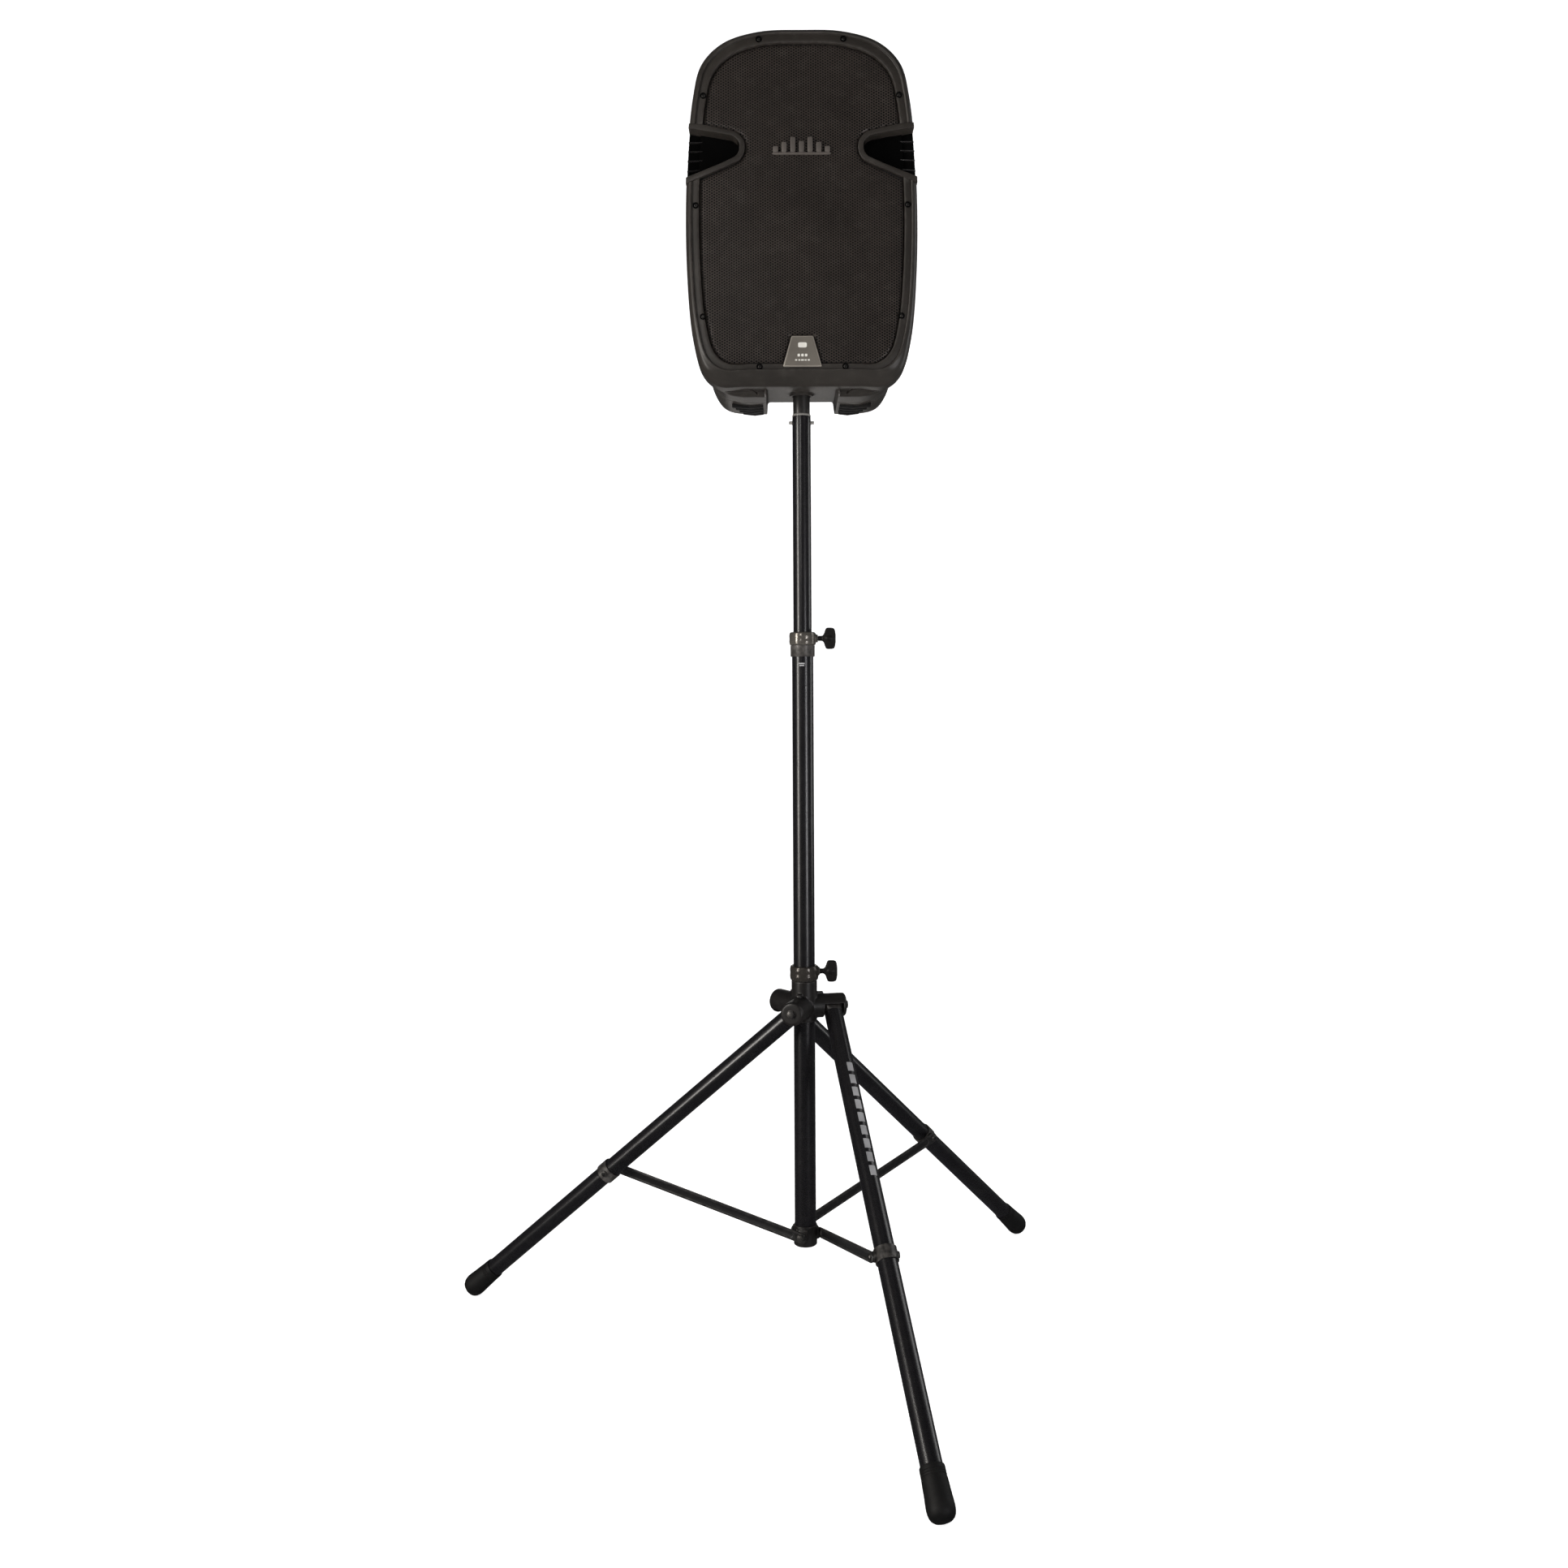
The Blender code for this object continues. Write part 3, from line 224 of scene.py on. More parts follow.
surface("fins", (0.014, 0.014, 0.015), 0.38, 0.6, grain=1200, bump=0.12, wear=0.3)
surface("socket", (0.010, 0.010, 0.010), 0.42, grain=900, bump=0.08)
surface("contact", (0.60, 0.48, 0.22), 0.28, 1.0, bump=0.0)
surface("board", (0.010, 0.060, 0.028), 0.45, grain=300, bump=0.10)
surface("print", (0.44, 0.44, 0.45), 0.50, grain=1500, bump=0.05, mottle=0.2)
surface("rib", (0.012, 0.011, 0.011), 0.30, grain=900, bump=0.05)
surface("badge_face", (0.150, 0.135, 0.115), 0.40, 0.25, grain=1200, bump=0.06)
surface("bright", (0.60, 0.58, 0.55), 0.25, 0.6, grain=1800, bump=0.06, mottle=0.15)


# ---------------------------------------------------------------- mesh tools


def basis(origin, z_axis, x_axis):
    """The matrix of a frame at origin whose Z is z_axis and whose X is as near as can be to x_axis."""
    z = Vector(z_axis).normalized()
    y = z.cross(Vector(x_axis)).normalized()
    made = Matrix((y.cross(z), y, z)).transposed().to_4x4()
    made.translation = Vector(origin)
    return made


def in_scene(name, data, matrix=None):
    made = bpy.data.objects.new(name, data)
    bpy.context.scene.collection.objects.link(made)
    made.matrix_world = matrix or Matrix()
    return made


def as_object(name, bm, matrix=None):
    bmesh.ops.recalc_face_normals(bm, faces=bm.faces)
    mesh = bpy.data.meshes.new(name)
    bm.to_mesh(mesh)
    bm.free()
    return in_scene(name, mesh, matrix)


def baked(obj, *steps, smooth=35):
    """Adds each step, (kind, settings), as a modifier, applies them all and shades the result smooth."""
    for kind, settings in steps:
        modifier = obj.modifiers.new(kind.lower(), kind)
        for name, value in settings.items():
            setattr(modifier, name, value)
    if steps:
        graph = bpy.context.evaluated_depsgraph_get()
        mesh = bpy.data.meshes.new_from_object(obj.evaluated_get(graph))
        obj.modifiers.clear()
        obj.data = mesh
    obj.data.shade_smooth()
    if smooth:
        obj.data.set_sharp_from_angle(angle=math.radians(smooth))
    return obj


def cut(obj, *tools, operation="DIFFERENCE", smooth=35):
    """Cuts or joins obj with each tool object, and removes the tools."""
    baked(obj, *[("BOOLEAN", {"operation": operation, "object": tool}) for tool in tools],
        smooth=smooth)
    for tool in tools:
        bpy.data.objects.remove(tool)
    return obj


def rounded(width, segments=3, angle=35):
    return ("BEVEL", {"width": width, "segments": segments, "limit_method": "ANGLE",
        "angle_limit": math.radians(angle), "use_clamp_overlap": True})


def piece(obj, look, body, *stands_for, slot=None):
    """Gives a finished object its finish and its body, and hides the CAD nodes that it stands for."""
    obj.data.materials.clear()
    obj.data.materials.append(LOOKS[look])
    obj.data.polygons.foreach_set("material_index", [0] * len(obj.data.polygons))
    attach(obj, body)
    if stands_for:
        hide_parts(*stands_for)
    return obj


def show(name, shape, at, look, body, *stands_for, slot=None, steps=(), smooth=35):
    """A finished piece from a bmesh, or from a list of them as one object, placed by the matrix at."""
    made = joined(name, shape, at) if isinstance(shape, list) else as_object(name, shape, at)
    return piece(baked(made, *steps, smooth=smooth), look, body, *stands_for, slot=slot)


def loft(rings, closed=False, capped=True):
    bm = bmesh.new()
    rows = [[bm.verts.new(p) for p in ring] for ring in rings]
    pairs = list(zip(rows, rows[1:]))
    if closed:
        pairs.append((rows[-1], rows[0]))
    for low, high in pairs:
        for i in range(len(low)):
            j = (i + 1) % len(low)
            bm.faces.new((low[i], low[j], high[j], high[i]))
    if capped and not closed:
        bm.faces.new(rows[0])
        bm.faces.new(rows[-1])
    return bm


def turned(profile, sides=64):
    """A solid turned about Z from a profile of (radius, z): a ring, or one with both ends on the axis."""
    bm = bmesh.new()
    rows = []
    for radius, z in profile:
        turns = [math.tau * i / sides for i in range(sides)] if radius else [0.0]
        rows.append([bm.verts.new((radius * math.cos(a), radius * math.sin(a), z)) for a in turns])
    pairs = list(zip(rows, rows[1:]))
    if len(rows[0]) > 1:
        pairs.append((rows[-1], rows[0]))
    for low, high in pairs:
        if len(low) == len(high) == 1:
            continue
        for i in range(sides):
            j = (i + 1) % sides
            if len(low) == 1:
                bm.faces.new((low[0], high[j], high[i]))
            elif len(high) == 1:
                bm.faces.new((low[i], low[j], high[0]))
            else:
                bm.faces.new((low[i], low[j], high[j], high[i]))
    return bm


def arc(centre, radius, start, end, steps=6):
    """Points on an arc of (radius, z), angles in degrees from +radius towards +z."""
    turns = [math.radians(start + (end - start) * i / steps) for i in range(steps + 1)]
    return [(centre[0] + radius * math.cos(a), centre[1] + radius * math.sin(a)) for a in turns]


def rod(radius, low, high, sides=32):
    return turned(((0, low), (radius, low), (radius, high), (0, high)), sides)


def prism(outline, low, high):
    return loft([[(x, y, z) for x, y in outline] for z in (low, high)])


def slab(outline, front, back):
    return loft([[(x, y, z) for x, z in outline] for y in (front, back)])


def block(low, high):
    corners = ((low[0], low[1]), (high[0], low[1]), (high[0], high[1]), (low[0], high[1]))
    return prism(corners, low[2], high[2])


def joined(name, parts, matrix=None):
    """One object from several bmeshes, each its own shell."""
    whole = bmesh.new()
    for part in parts:
        spare = bpy.data.meshes.new("spare")
        bmesh.ops.recalc_face_normals(part, faces=part.faces)
        part.to_mesh(spare)
        part.free()
        whole.from_mesh(spare)
        bpy.data.meshes.remove(spare)
    mesh = bpy.data.meshes.new(name)
    whole.to_mesh(mesh)
    whole.free()
    return in_scene(name, mesh, matrix)


def moved(bm, matrix):
    bm.transform(matrix)
    return bm


def superellipse(half_w, half_h, power, sides=48, centre=(0.0, 0.0)):
    made = []
    for i in range(sides):
        a = math.tau * (i + 0.5) / sides
        c, s = math.cos(a), math.sin(a)
        x = centre[0] + half_w * math.copysign(abs(c) ** (2 / power), c)
        z = centre[1] + half_h * math.copysign(abs(s) ** (2 / power), s)
        made.append((x, z))
    return made


def smooth_half(points, steps):
    """Points on a centripetal Catmull-Rom curve through a half outline that ends on the middle plane."""
    first, last = points[1], points[-2]
    path = [Vector((-first[0], first[1]))] + [Vector(p) for p in points] + [Vector((-last[0], last[1]))]
    made = []
    for a, b, c, d in zip(path, path[1:], path[2:], path[3:]):
        t1 = (b - a).length ** 0.5
        t2 = t1 + (c - b).length ** 0.5
        t3 = t2 + (d - c).length ** 0.5
        for k in range(steps):
            t = t1 + (t2 - t1) * k / steps
            ab = a.lerp(b, t / t1)
            bc = b.lerp(c, (t - t1) / (t2 - t1))
            cd = c.lerp(d, (t - t2) / (t3 - t2))
            near, far = ab.lerp(bc, t / t2), bc.lerp(cd, (t - t1) / (t3 - t1))
            made.append(near.lerp(far, (t - t1) / (t2 - t1)))
    return made + [path[-2]]


STEPS = 8
FRONT_HALF = smooth_half(FRONT_OUTLINE, STEPS)
BODY_HALF = [Vector((p.x, max(p.y, 0))) for p in smooth_half(BODY_OUTLINE, STEPS)]  # with flat feet


def ring(y, share=0.0, fit=(1.0, 1.0, 0.0), inset=0.0):
    """The cabinet's section at y: share of the way from front to body, fitted in width, height and lift."""
    half = [f.lerp(b, share) for f, b in zip(FRONT_HALF, BODY_HALF)]
    wide, high = fit[0] - inset / HALF_W, fit[1] - inset / HALF_H
    half = [(p.x * wide, MID_Z + fit[2] + (p.y - MID_Z) * high) for p in half]
    return [(x, y, z) for x, z in half] + [(-x, y, z) for x, z in reversed(half[1:-1])]


def between(a, b, t):
    return tuple(p + (q - p) * t for p, q in zip(a, b))


def sided(points, side, grow=0.0):
    """An outline drawn for the right side, grown towards the middle, on the side of the sign of side."""
    middle = sum(z for _, z in points) / len(points)
    made = [(side * (x - grow), z + math.copysign(grow, z - middle)) for x, z in points]
    return made if side > 0 else made[::-1]


def softened(points, radius, steps=4):
    """A closed outline with its corners cut round."""
    made = []
    count = len(points)
    for i, point in enumerate(points):
        here = Vector(point)
        back, ahead = Vector(points[i - 1]) - here, Vector(points[(i + 1) % count]) - here
        reach = min(radius, back.length * 0.45, ahead.length * 0.45)
        start, end = here + back.normalized() * reach, here + ahead.normalized() * reach
        for k in range(steps + 1):
            t = k / steps
            made.append(tuple(start.lerp(here, t).lerp(here.lerp(end, t), t)))
    return made


# ---------------------------------------------------------------- the cabinet


def notch(grow=0.0):
    """The channel between the feet, with sloping walls and a ceiling that rises behind the feet."""
    top, half = NOTCH_H + grow, NOTCH_HALF_W + grow
    rings = []
    for y, lift in ((NOTCH_Y - grow, 0.0), (FEET_END_Y, 0.0), (0.30, 0.045)):
        z = top + lift
        side = [(half + 0.002, -0.05), (half - 0.002, z - 0.005), (half - 0.004, z - 0.0015),
            (half - 0.008, z)]
        rings.append([(x, y, h) for x, h in side] + [(-x, y, h) for x, h in reversed(side)])
    return loft(rings)


def cup_hole():
    """The hole for the pole cup."""
    return as_object("cup_hole", rod(CUP_HOLE_R, -0.02, 0.05, 48), SEAT)


def make_front_shell():
    """The moulded front: a rounded edge, a raised lip, a sunken band round the grille and a bevelled chin."""
    whole, lip_y, lip_depth, chin_y = (1.0, 1.0, 0.0), -0.1590, 0.0300, -0.145
    step = ((-0.070, 1), (-0.095, 1), (-0.1010, 1), (-0.1040, 0.93), (-0.1070, 0.72), (-0.1110, 0.40),
            (-0.1150, 0.12), (-0.1190, 0.02), (-0.1230, 0), (-0.1400, 0), (-0.1520, 0))
    outer = [ring(SEAM_Y - GAP, 1, inset=0.0012), ring(SEAM_Y - 0.0016, 1, inset=0.0001)]
    outer += [ring(y, share) for y, share in step]
    for degrees in range(0, 85, 7):
        a = math.radians(degrees)
        outer.append(ring(lip_y - lip_depth * math.sin(a), fit=between(whole, RIM, 1 - math.cos(a))))
    outer += [ring(-0.1898, fit=between(whole, RIM, 0.97)), ring(FRONT_Y, fit=RIM)]
    outer += [ring(y, fit=between(RIM, GRILLE, share)) for y, share in
              ((-0.1899, 0.10), (-0.1892, 0.16), (-0.1868, 0.18), (-0.1863, 0.21), (-0.1870, 0.40),
               (-0.1880, 0.66), (-0.1884, 0.88), (-0.1878, 0.97))]
    outer += [ring(-0.1860, fit=GRILLE), ring(-0.1745, fit=GRILLE)]
    inner = [ring(-0.1700, fit=between(RIM, GRILLE, 0.5)), ring(-0.1500, 0, inset=0.010)]
    inner += [ring(-0.1200, 0.2, inset=0.007)] + [ring(y, 1, inset=WALL) for y in (-0.1000, SEAM_Y - GAP)]
    bm = loft(outer + inner, closed=True)
    for vert in bm.verts:
        if vert.co.z < CHIN_TOP and vert.co.y < chin_y:
            vert.co.y += CHIN_SLOPE * (CHIN_TOP - vert.co.z) * (chin_y - vert.co.y) / 0.045
    shell = as_object("front_shell", bm, SEAT)
    tools = [as_object("front_notch", notch(), SEAT)]
    for side in (-1, 1):
        room = slab(softened(sided(HANDLE_RIM, side, GAP), 0.010), AHEAD_Y, HANDLE_BACK_Y)
        tools.append(as_object("handle_room", room, SEAT))
        crease = [((side * x, y - half, -0.01), (side * x, y + half, -0.01), (side * x, y + half, top),
                   (side * x, y - half, top)) for x, y, half, top in CREASE]
        tools.append(as_object("crease", loft(crease), SEAT))
    # the board behind the grille: housing plastic painted near black, as painted shade seen through the holes
    baffle = slab([(x, z) for x, _, z in ring(0, fit=GRILLE, inset=-0.004)], -0.1580, -0.1500)
    cut(shell, *tools, smooth=28)
    piece(shell, "housing", "speaker", "front_housing", slot="housing")
    show("baffle", baffle, SEAT, "liner", "speaker", slot="housing")


def make_notch_lining():
    """The walls and ceiling of the channel between the feet, inside both shells, and the pole cup's skin."""
    lining = as_object("notch_lining", notch(0.0030), SEAT)
    inside = [ring(y, 1, inset=0.0004) for y in (-0.1300, FEET_END_Y)] + [ring(0.130, 1, inset=0.0155)]
    cut(lining, as_object("cabinet_room", loft(inside), SEAT), operation="INTERSECT")
    cut(lining, as_object("channel", notch(), SEAT), cup_hole())
    piece(lining, "housing", "speaker", slot="housing")
    profile = [(0, 0.1400), (0.0195, 0.1400), (0.0195, 0.0205), (0.0220, 0.0205), (0.0232, 0.0209),
               (0.0240, 0.0220), (0.0250, 0.0240), (0.0275, 0.0252), (0.0320, 0.0255), (0.0320, 0.0300),
               (0.0255, 0.0300), (0.0245, 0.1460), (0, 0.1460)]
    show("pole_cup_skin", turned(profile, 64), SEAT, "housing", "speaker", "pole_cup", slot="liner")


def make_rear_shell():
    """The rear shell: flat feet, a back that rounds in to a flat wall, and the amplifier panel's opening."""
    outer = [ring(SEAM_Y + GAP, 1, inset=0.0012), ring(SEAM_Y + 0.0016, 1, inset=0.0001)]
    outer += [ring(y, 1) for y in (0.0, 0.040, FEET_END_Y)]
    rounding = ((0.100, 0.0030), (0.115, 0.0078), (0.130, 0.0142), (0.145, 0.0222), (0.156, 0.0302),
                (0.166, 0.0400), (0.172, 0.0480), (0.1758, 0.0555), (REAR_Y, 0.0640))
    lining = ((0.1730, 0.0700), (0.1640, 0.0600), (0.1400, 0.0340), (0.100, 0.0100), (0.0, WALL),
              (SEAM_Y + GAP, WALL))
    outer += [ring(y, 1, inset=inset) for y, inset in rounding]
    inner = [ring(y, 1, inset=inset) for y, inset in lining]
    shell = as_object("rear_shell", loft(outer + inner, closed=True), SEAT)
    wall = [(x, z) for x, _, z in ring(0, 1, inset=0.0605)]
    cap = as_object("rear_wall", slab(wall, 0.1665, REAR_Y - 0.0004), SEAT)
    cut(shell, cap, operation="UNION", smooth=28)
    margin = 0.0004
    opening = block((PANEL_LOW.x - margin, 0.15, PANEL_LOW.z - margin),
                    (PANEL_HIGH.x + margin, 0.20, PANEL_HIGH.z + margin))
    hole = as_object("panel_opening", opening, SEAT)
    cup = cup_hole()
    cut(shell, as_object("rear_notch", notch(), SEAT), hole, cup, smooth=28)
    piece(shell, "housing", "speaker", "rear_housing", slot="housing")


def make_feet_ridges():
    """Four black ridges under each foot, bent like chevrons."""
    ridges = []
    for side in (-1, 1):
        for row in range(4):
            y, near, far = -0.020 + 0.0250 * row, 0.0795, 0.1440 - 0.0070 * row
            elbow = near + (far - near) * 0.45
            outline = ((near, y), (elbow, y + 0.0120), (far, y - 0.0020), (far, y + 0.0080),
                       (elbow, y + 0.0240), (near, y + 0.0120))
            ridges.append(prism([(side * a, b) for a, b in outline], -0.0042, 0.0040))
    show("feet_ridges", ridges, SEAT, "rubber", "speaker", slot="rubber", steps=[rounded(0.0008, 2)])


def make_handles():
    """The two handles: a raised rim, a black pocket open to the side, lined and floored in near black as
    painted shade over its black plastic, and five ribs that fan out in it.
    """
    for side, name in ((-1, "left"), (1, "right")):
        def side_wall(inset):
            rings = [ring(y, share, inset=inset) for y, share in
                     ((-0.30, 0), (-0.1230, 0), (-0.1010, 1), (0.10, 1))]
            return as_object("side_wall", loft(rings), SEAT)

        rim = slab(softened(sided(HANDLE_RIM, side), 0.010), -0.1893, HANDLE_BACK_Y)
        frame_piece = as_object(f"handle_{name}_frame", rim, SEAT)
        cut(frame_piece, side_wall(0.0006), operation="INTERSECT")
        pocket = slab(softened(sided(HANDLE_POCKET, side), 0.007), AHEAD_Y, HANDLE_BACK_Y - 0.004)
        cut(frame_piece, as_object("pocket", pocket, SEAT), smooth=0)
        baked(frame_piece, rounded(0.0020, 4, 50))
        piece(frame_piece, "housing", "speaker", f"handle_{name}", slot="liner")
        inside = softened(sided(HANDLE_POCKET, side, -0.0004), 0.007)
        # the pocket's lining: painted near black as painted shade over the black plastic
        lining = as_object(f"handle_{name}_lining", slab(inside, -0.1840, HANDLE_BACK_Y - 0.0036), SEAT)
        cut(lining, side_wall(0.0009), operation="INTERSECT")
        hollow = slab(softened(sided(HANDLE_POCKET, side, -0.0014), 0.006), AHEAD_Y, HANDLE_BACK_Y - 0.0060)
        cut(lining, as_object("hollow", hollow, SEAT))
        piece(lining, "liner", "speaker", slot="liner")
        # the pocket's floor: painted near black as painted shade over the black plastic
        wedge = prism([(side * x, y) for x, y in HANDLE_FLOOR], 0.38, 0.53)
        floor = as_object(f"handle_{name}_floor", wedge, SEAT)
        room = as_object("room", slab(inside, -0.20, -0.10), SEAT)
        cut(floor, room, side_wall(0.0010), operation="INTERSECT")
        piece(floor, "liner", "speaker", slot="liner")
        ribs = []
        for root_x, root_z, tip_z in RIBS:
            path = []
            for k in range(13):
                t = k / 12
                x = root_x + (0.2320 - root_x) * t
                rise = 0.0075 * math.sin(min(1, t * 2.5) * math.pi / 2)
                path.append((side * x, -0.1370 - 0.1905 * (x - 0.1250) - rise, root_z + (tip_z - root_z) * t))
            rows = [[(x, -0.1300, z - 0.0012), (x, crest, z - 0.0008), (x, crest, z + 0.0008),
                     (x, -0.1300, z + 0.0012)] for x, crest, z in path]
            ribs.append(loft(rows))
        ribs = cut(joined(f"handle_{name}_ribs", ribs, SEAT), side_wall(0.0008), operation="INTERSECT")
        piece(baked(ribs, rounded(0.0003, 2, 60)), "rib", "speaker", slot="liner")


# ---------------------------------------------------------------- the grille


def signed_distance(points, outline):
    """Each point's distance to a closed outline, below zero inside, and the nearest point on it."""
    start = np.array(outline)
    along = np.roll(start, -1, axis=0) - start
    best = np.full(len(points), 1e9)
    near = np.zeros_like(points)
    inside = np.zeros(len(points), bool)
    for a, d in zip(start, along):
        length = max(float(d @ d), 1e-18)
        t = np.clip(((points - a) @ d) / length, 0, 1)
        foot = a + t[:, None] * d
        gap = np.hypot(*(points - foot).T)
        closer = gap < best
        best[closer] = gap[closer]
        near[closer] = foot[closer]
        crosses = (a[1] > points[:, 1]) != (a[1] + d[1] > points[:, 1])
        if abs(d[1]) > 1e-12:
            at = a[0] + (points[:, 1] - a[1]) / d[1] * d[0]
            inside ^= crosses & (points[:, 0] < at)
    return np.where(inside, -best, best), near


GRILLE_EDGE = [(x, z) for x, _, z in ring(0, fit=GRILLE, inset=0.0006)]
PITCH, HOLE = 0.0055, 0.375  # between holes; a hole's radius as a share of the pitch
BADGE_ROOM = ((0.0423, 0.0300), (0.0219, 0.1030), (-0.0219, 0.1030), (-0.0423, 0.0300))


def grille_depth(distance, x, z):
    """How far back the sheet lies: crowned towards its middle, rolled back over its last few millimetres."""
    crown = 0.0030 * (1 - (x / 0.20) ** 2) * (1 - ((z - 0.37) / 0.33) ** 2)
    roll = np.clip(1 + distance / 0.0090, 0, 1)
    return -0.1832 - np.clip(crown, 0, None) + 0.0050 * (1 - np.sqrt(1 - roll**2 * 0.999))


def make_grille():
    """A perforated sheet: a hexagonal cell round each staggered hole, the outer cells drawn to the edge."""
    keep_outs = [softened(sided(HANDLE_RIM, side, 0.0008), 0.010) for side in (-1, 1)] + [BADGE_ROOM]
    column, centres = PITCH * math.sqrt(3) / 2, []
    for i in range(-44, 45):
        for j in range(0, 135):
            centres.append((i * column, 0.030 + (j + 0.5 * (i % 2)) * PITCH))
    centres = np.array(centres)

    def clearance(points):
        """Distance into forbidden ground, below zero on the sheet, and the nearest point on its edge."""
        most, near = signed_distance(points, GRILLE_EDGE)
        for outline in keep_outs:
            gap, foot = signed_distance(points, outline)
            worse = -gap > most
            most = np.where(worse, -gap, most)
            near[worse] = foot[worse]
        return most, near

    into, _ = clearance(centres)
    centres, into = centres[into < PITCH * 0.55], into[into < PITCH * 0.55]
    corners = [math.radians(60 * k) for k in range(6)]
    cell = np.array([(math.cos(a), math.sin(a)) for a in corners]) * PITCH / math.sqrt(3)
    hole = np.array([(math.cos(a), math.sin(a)) for a in corners]) * PITCH * HOLE
    verts, faces, index = [], [], {}

    def vertex(x, z, level):
        key = (round(x, 5), round(z, 5), level)
        if key not in index:
            index[key] = len(verts)
            verts.append((x, z, level))
        return index[key]

    for (x, z), depth in zip(centres, into):
        outer = [vertex(x + dx, z + dz, 0) for dx, dz in cell]
        if depth > -PITCH * 0.42:
            faces.append(outer)
            continue
        front = [vertex(x + dx, z + dz, 1) for dx, dz in hole]
        back = [vertex(x + dx, z + dz, 2) for dx, dz in hole]
        for k in range(6):
            n = (k + 1) % 6
            faces.append((outer[k], outer[n], front[n], front[k]))
            faces.append((front[k], front[n], back[n], back[k]))
    flat = np.array([v[:2] for v in verts])
    levels = np.array([v[2] for v in verts])
    past, near = clearance(flat)
    flat[past > 0] = near[past > 0]
    depth = grille_depth(np.minimum(past, 0), flat[:, 0], flat[:, 1]) + 0.0010 * (levels == 2)
    bm = bmesh.new()
    made = [bm.verts.new((x, y, z)) for (x, z), y in zip(flat, depth)]
    for face in faces:
        bm.faces.new([made[k] for k in face])
    bmesh.ops.remove_doubles(bm, verts=bm.verts, dist=0.00005)
    sheet = as_object("grille_sheet", bm, SEAT)
    facing = np.zeros(len(sheet.data.polygons) * 3)
    sheet.data.polygons.foreach_get("normal", facing)
    if facing.reshape(-1, 3)[:, 1].sum() > 0:
        sheet.data.flip_normals()
    baked(sheet, smooth=50)
    piece(sheet, "grille", "speaker", "grille", slot="grille")


def make_badge_and_emblem():
    """A plate with a plain face and marks at the grille's foot, and an emblem of seven bars on a line."""
    show("badge_plate_detail", slab(softened(BADGE, 0.003), -0.1905, -0.1840), SEAT, "badge", "speaker",
         "badge_plate", slot="badge", steps=[rounded(0.0010, 3, 50)])
    inner = ((0.0352, 0.0442), (0.0195, 0.0998), (-0.0195, 0.0998), (-0.0352, 0.0442))
    face = slab(softened(inner, 0.002), -0.1909, -0.1903)
    show("badge_face", face, SEAT, "badge_face", "speaker", slot="badge")
    spots = [(0.0085, 0.0050, 24, (0.0, 0.0840))]
    spots += [(0.0024, 0.0026, 20, (0.0072 * k, 0.0640)) for k in (-1, 0, 1)]
    spots += [(0.0020 if k else 0.0028, 0.0014, 16, (0.0062 * k, 0.0545)) for k in (-2, -1, 0, 1, 2)]
    marks = [slab(superellipse(w, h, 5, sides, at), -0.1912, -0.1907) for w, h, sides, at in spots]
    show("badge_marks", marks, SEAT, "mark", "speaker", slot="badge")
    bars = []
    for column, height in enumerate((0.012, 0.020, 0.030, 0.022, 0.030, 0.020, 0.012)):
        x, base = 0.0170 * (column - 3), 0.4620
        bars.append(superellipse(0.0052, height / 2, 6, 28, (x, base + height / 2)))
    bars.append(superellipse(0.0575, 0.0022, 6, 40, (0.0, 0.4598)))
    show("emblem_bars", [slab(bar, -0.1905, -0.1850) for bar in bars], SEAT, "emblem", "speaker", "emblem",
         slot="badge", steps=[rounded(0.0007, 2, 50)])


def screw_head(radius=0.0042, rise=0.0016, socket=0.0019):
    """A domed head with a hexagonal socket."""
    profile = [(0, -0.002), (radius, -0.002), (radius, rise * 0.35)]
    profile += [(radius * math.cos(a), rise * (0.35 + 0.65 * math.sin(a))) for a in (0.4, 0.8, 1.1)]
    profile += [(socket * 1.25, rise), (socket, rise * 0.98), (socket, rise * 0.1), (0, rise * 0.1)]
    return turned(profile, 24)


def make_grille_screws():
    """Ten socket-head screws, each sunk in a well in the band round the grille, the well painted near black
    as painted shade.
    """
    heads, wells = [], []
    for x, z in SCREWS:
        for side in (-1, 1):
            at = basis((side * x, -0.1880, z), (0, -1, 0), (1, 0, 0))
            heads.append(moved(screw_head(0.0030, 0.0008, 0.0014), at))
            well = [(0.0030, -0.001), (0.0062, -0.001), (0.0062, 0.0006), (0.0054, 0.0012),
                (0.0034, 0.0004)]
            wells.append(moved(turned(well, 32), at))
    show("grille_screw_heads", heads, SEAT, "screw", "speaker", slot="bolt")
    # the wells are housing plastic painted near black as painted shade
    show("screw_wells_painted_shade", wells, SEAT, "liner", "speaker", slot="housing")


# ---------------------------------------------------------------- the amplifier panel


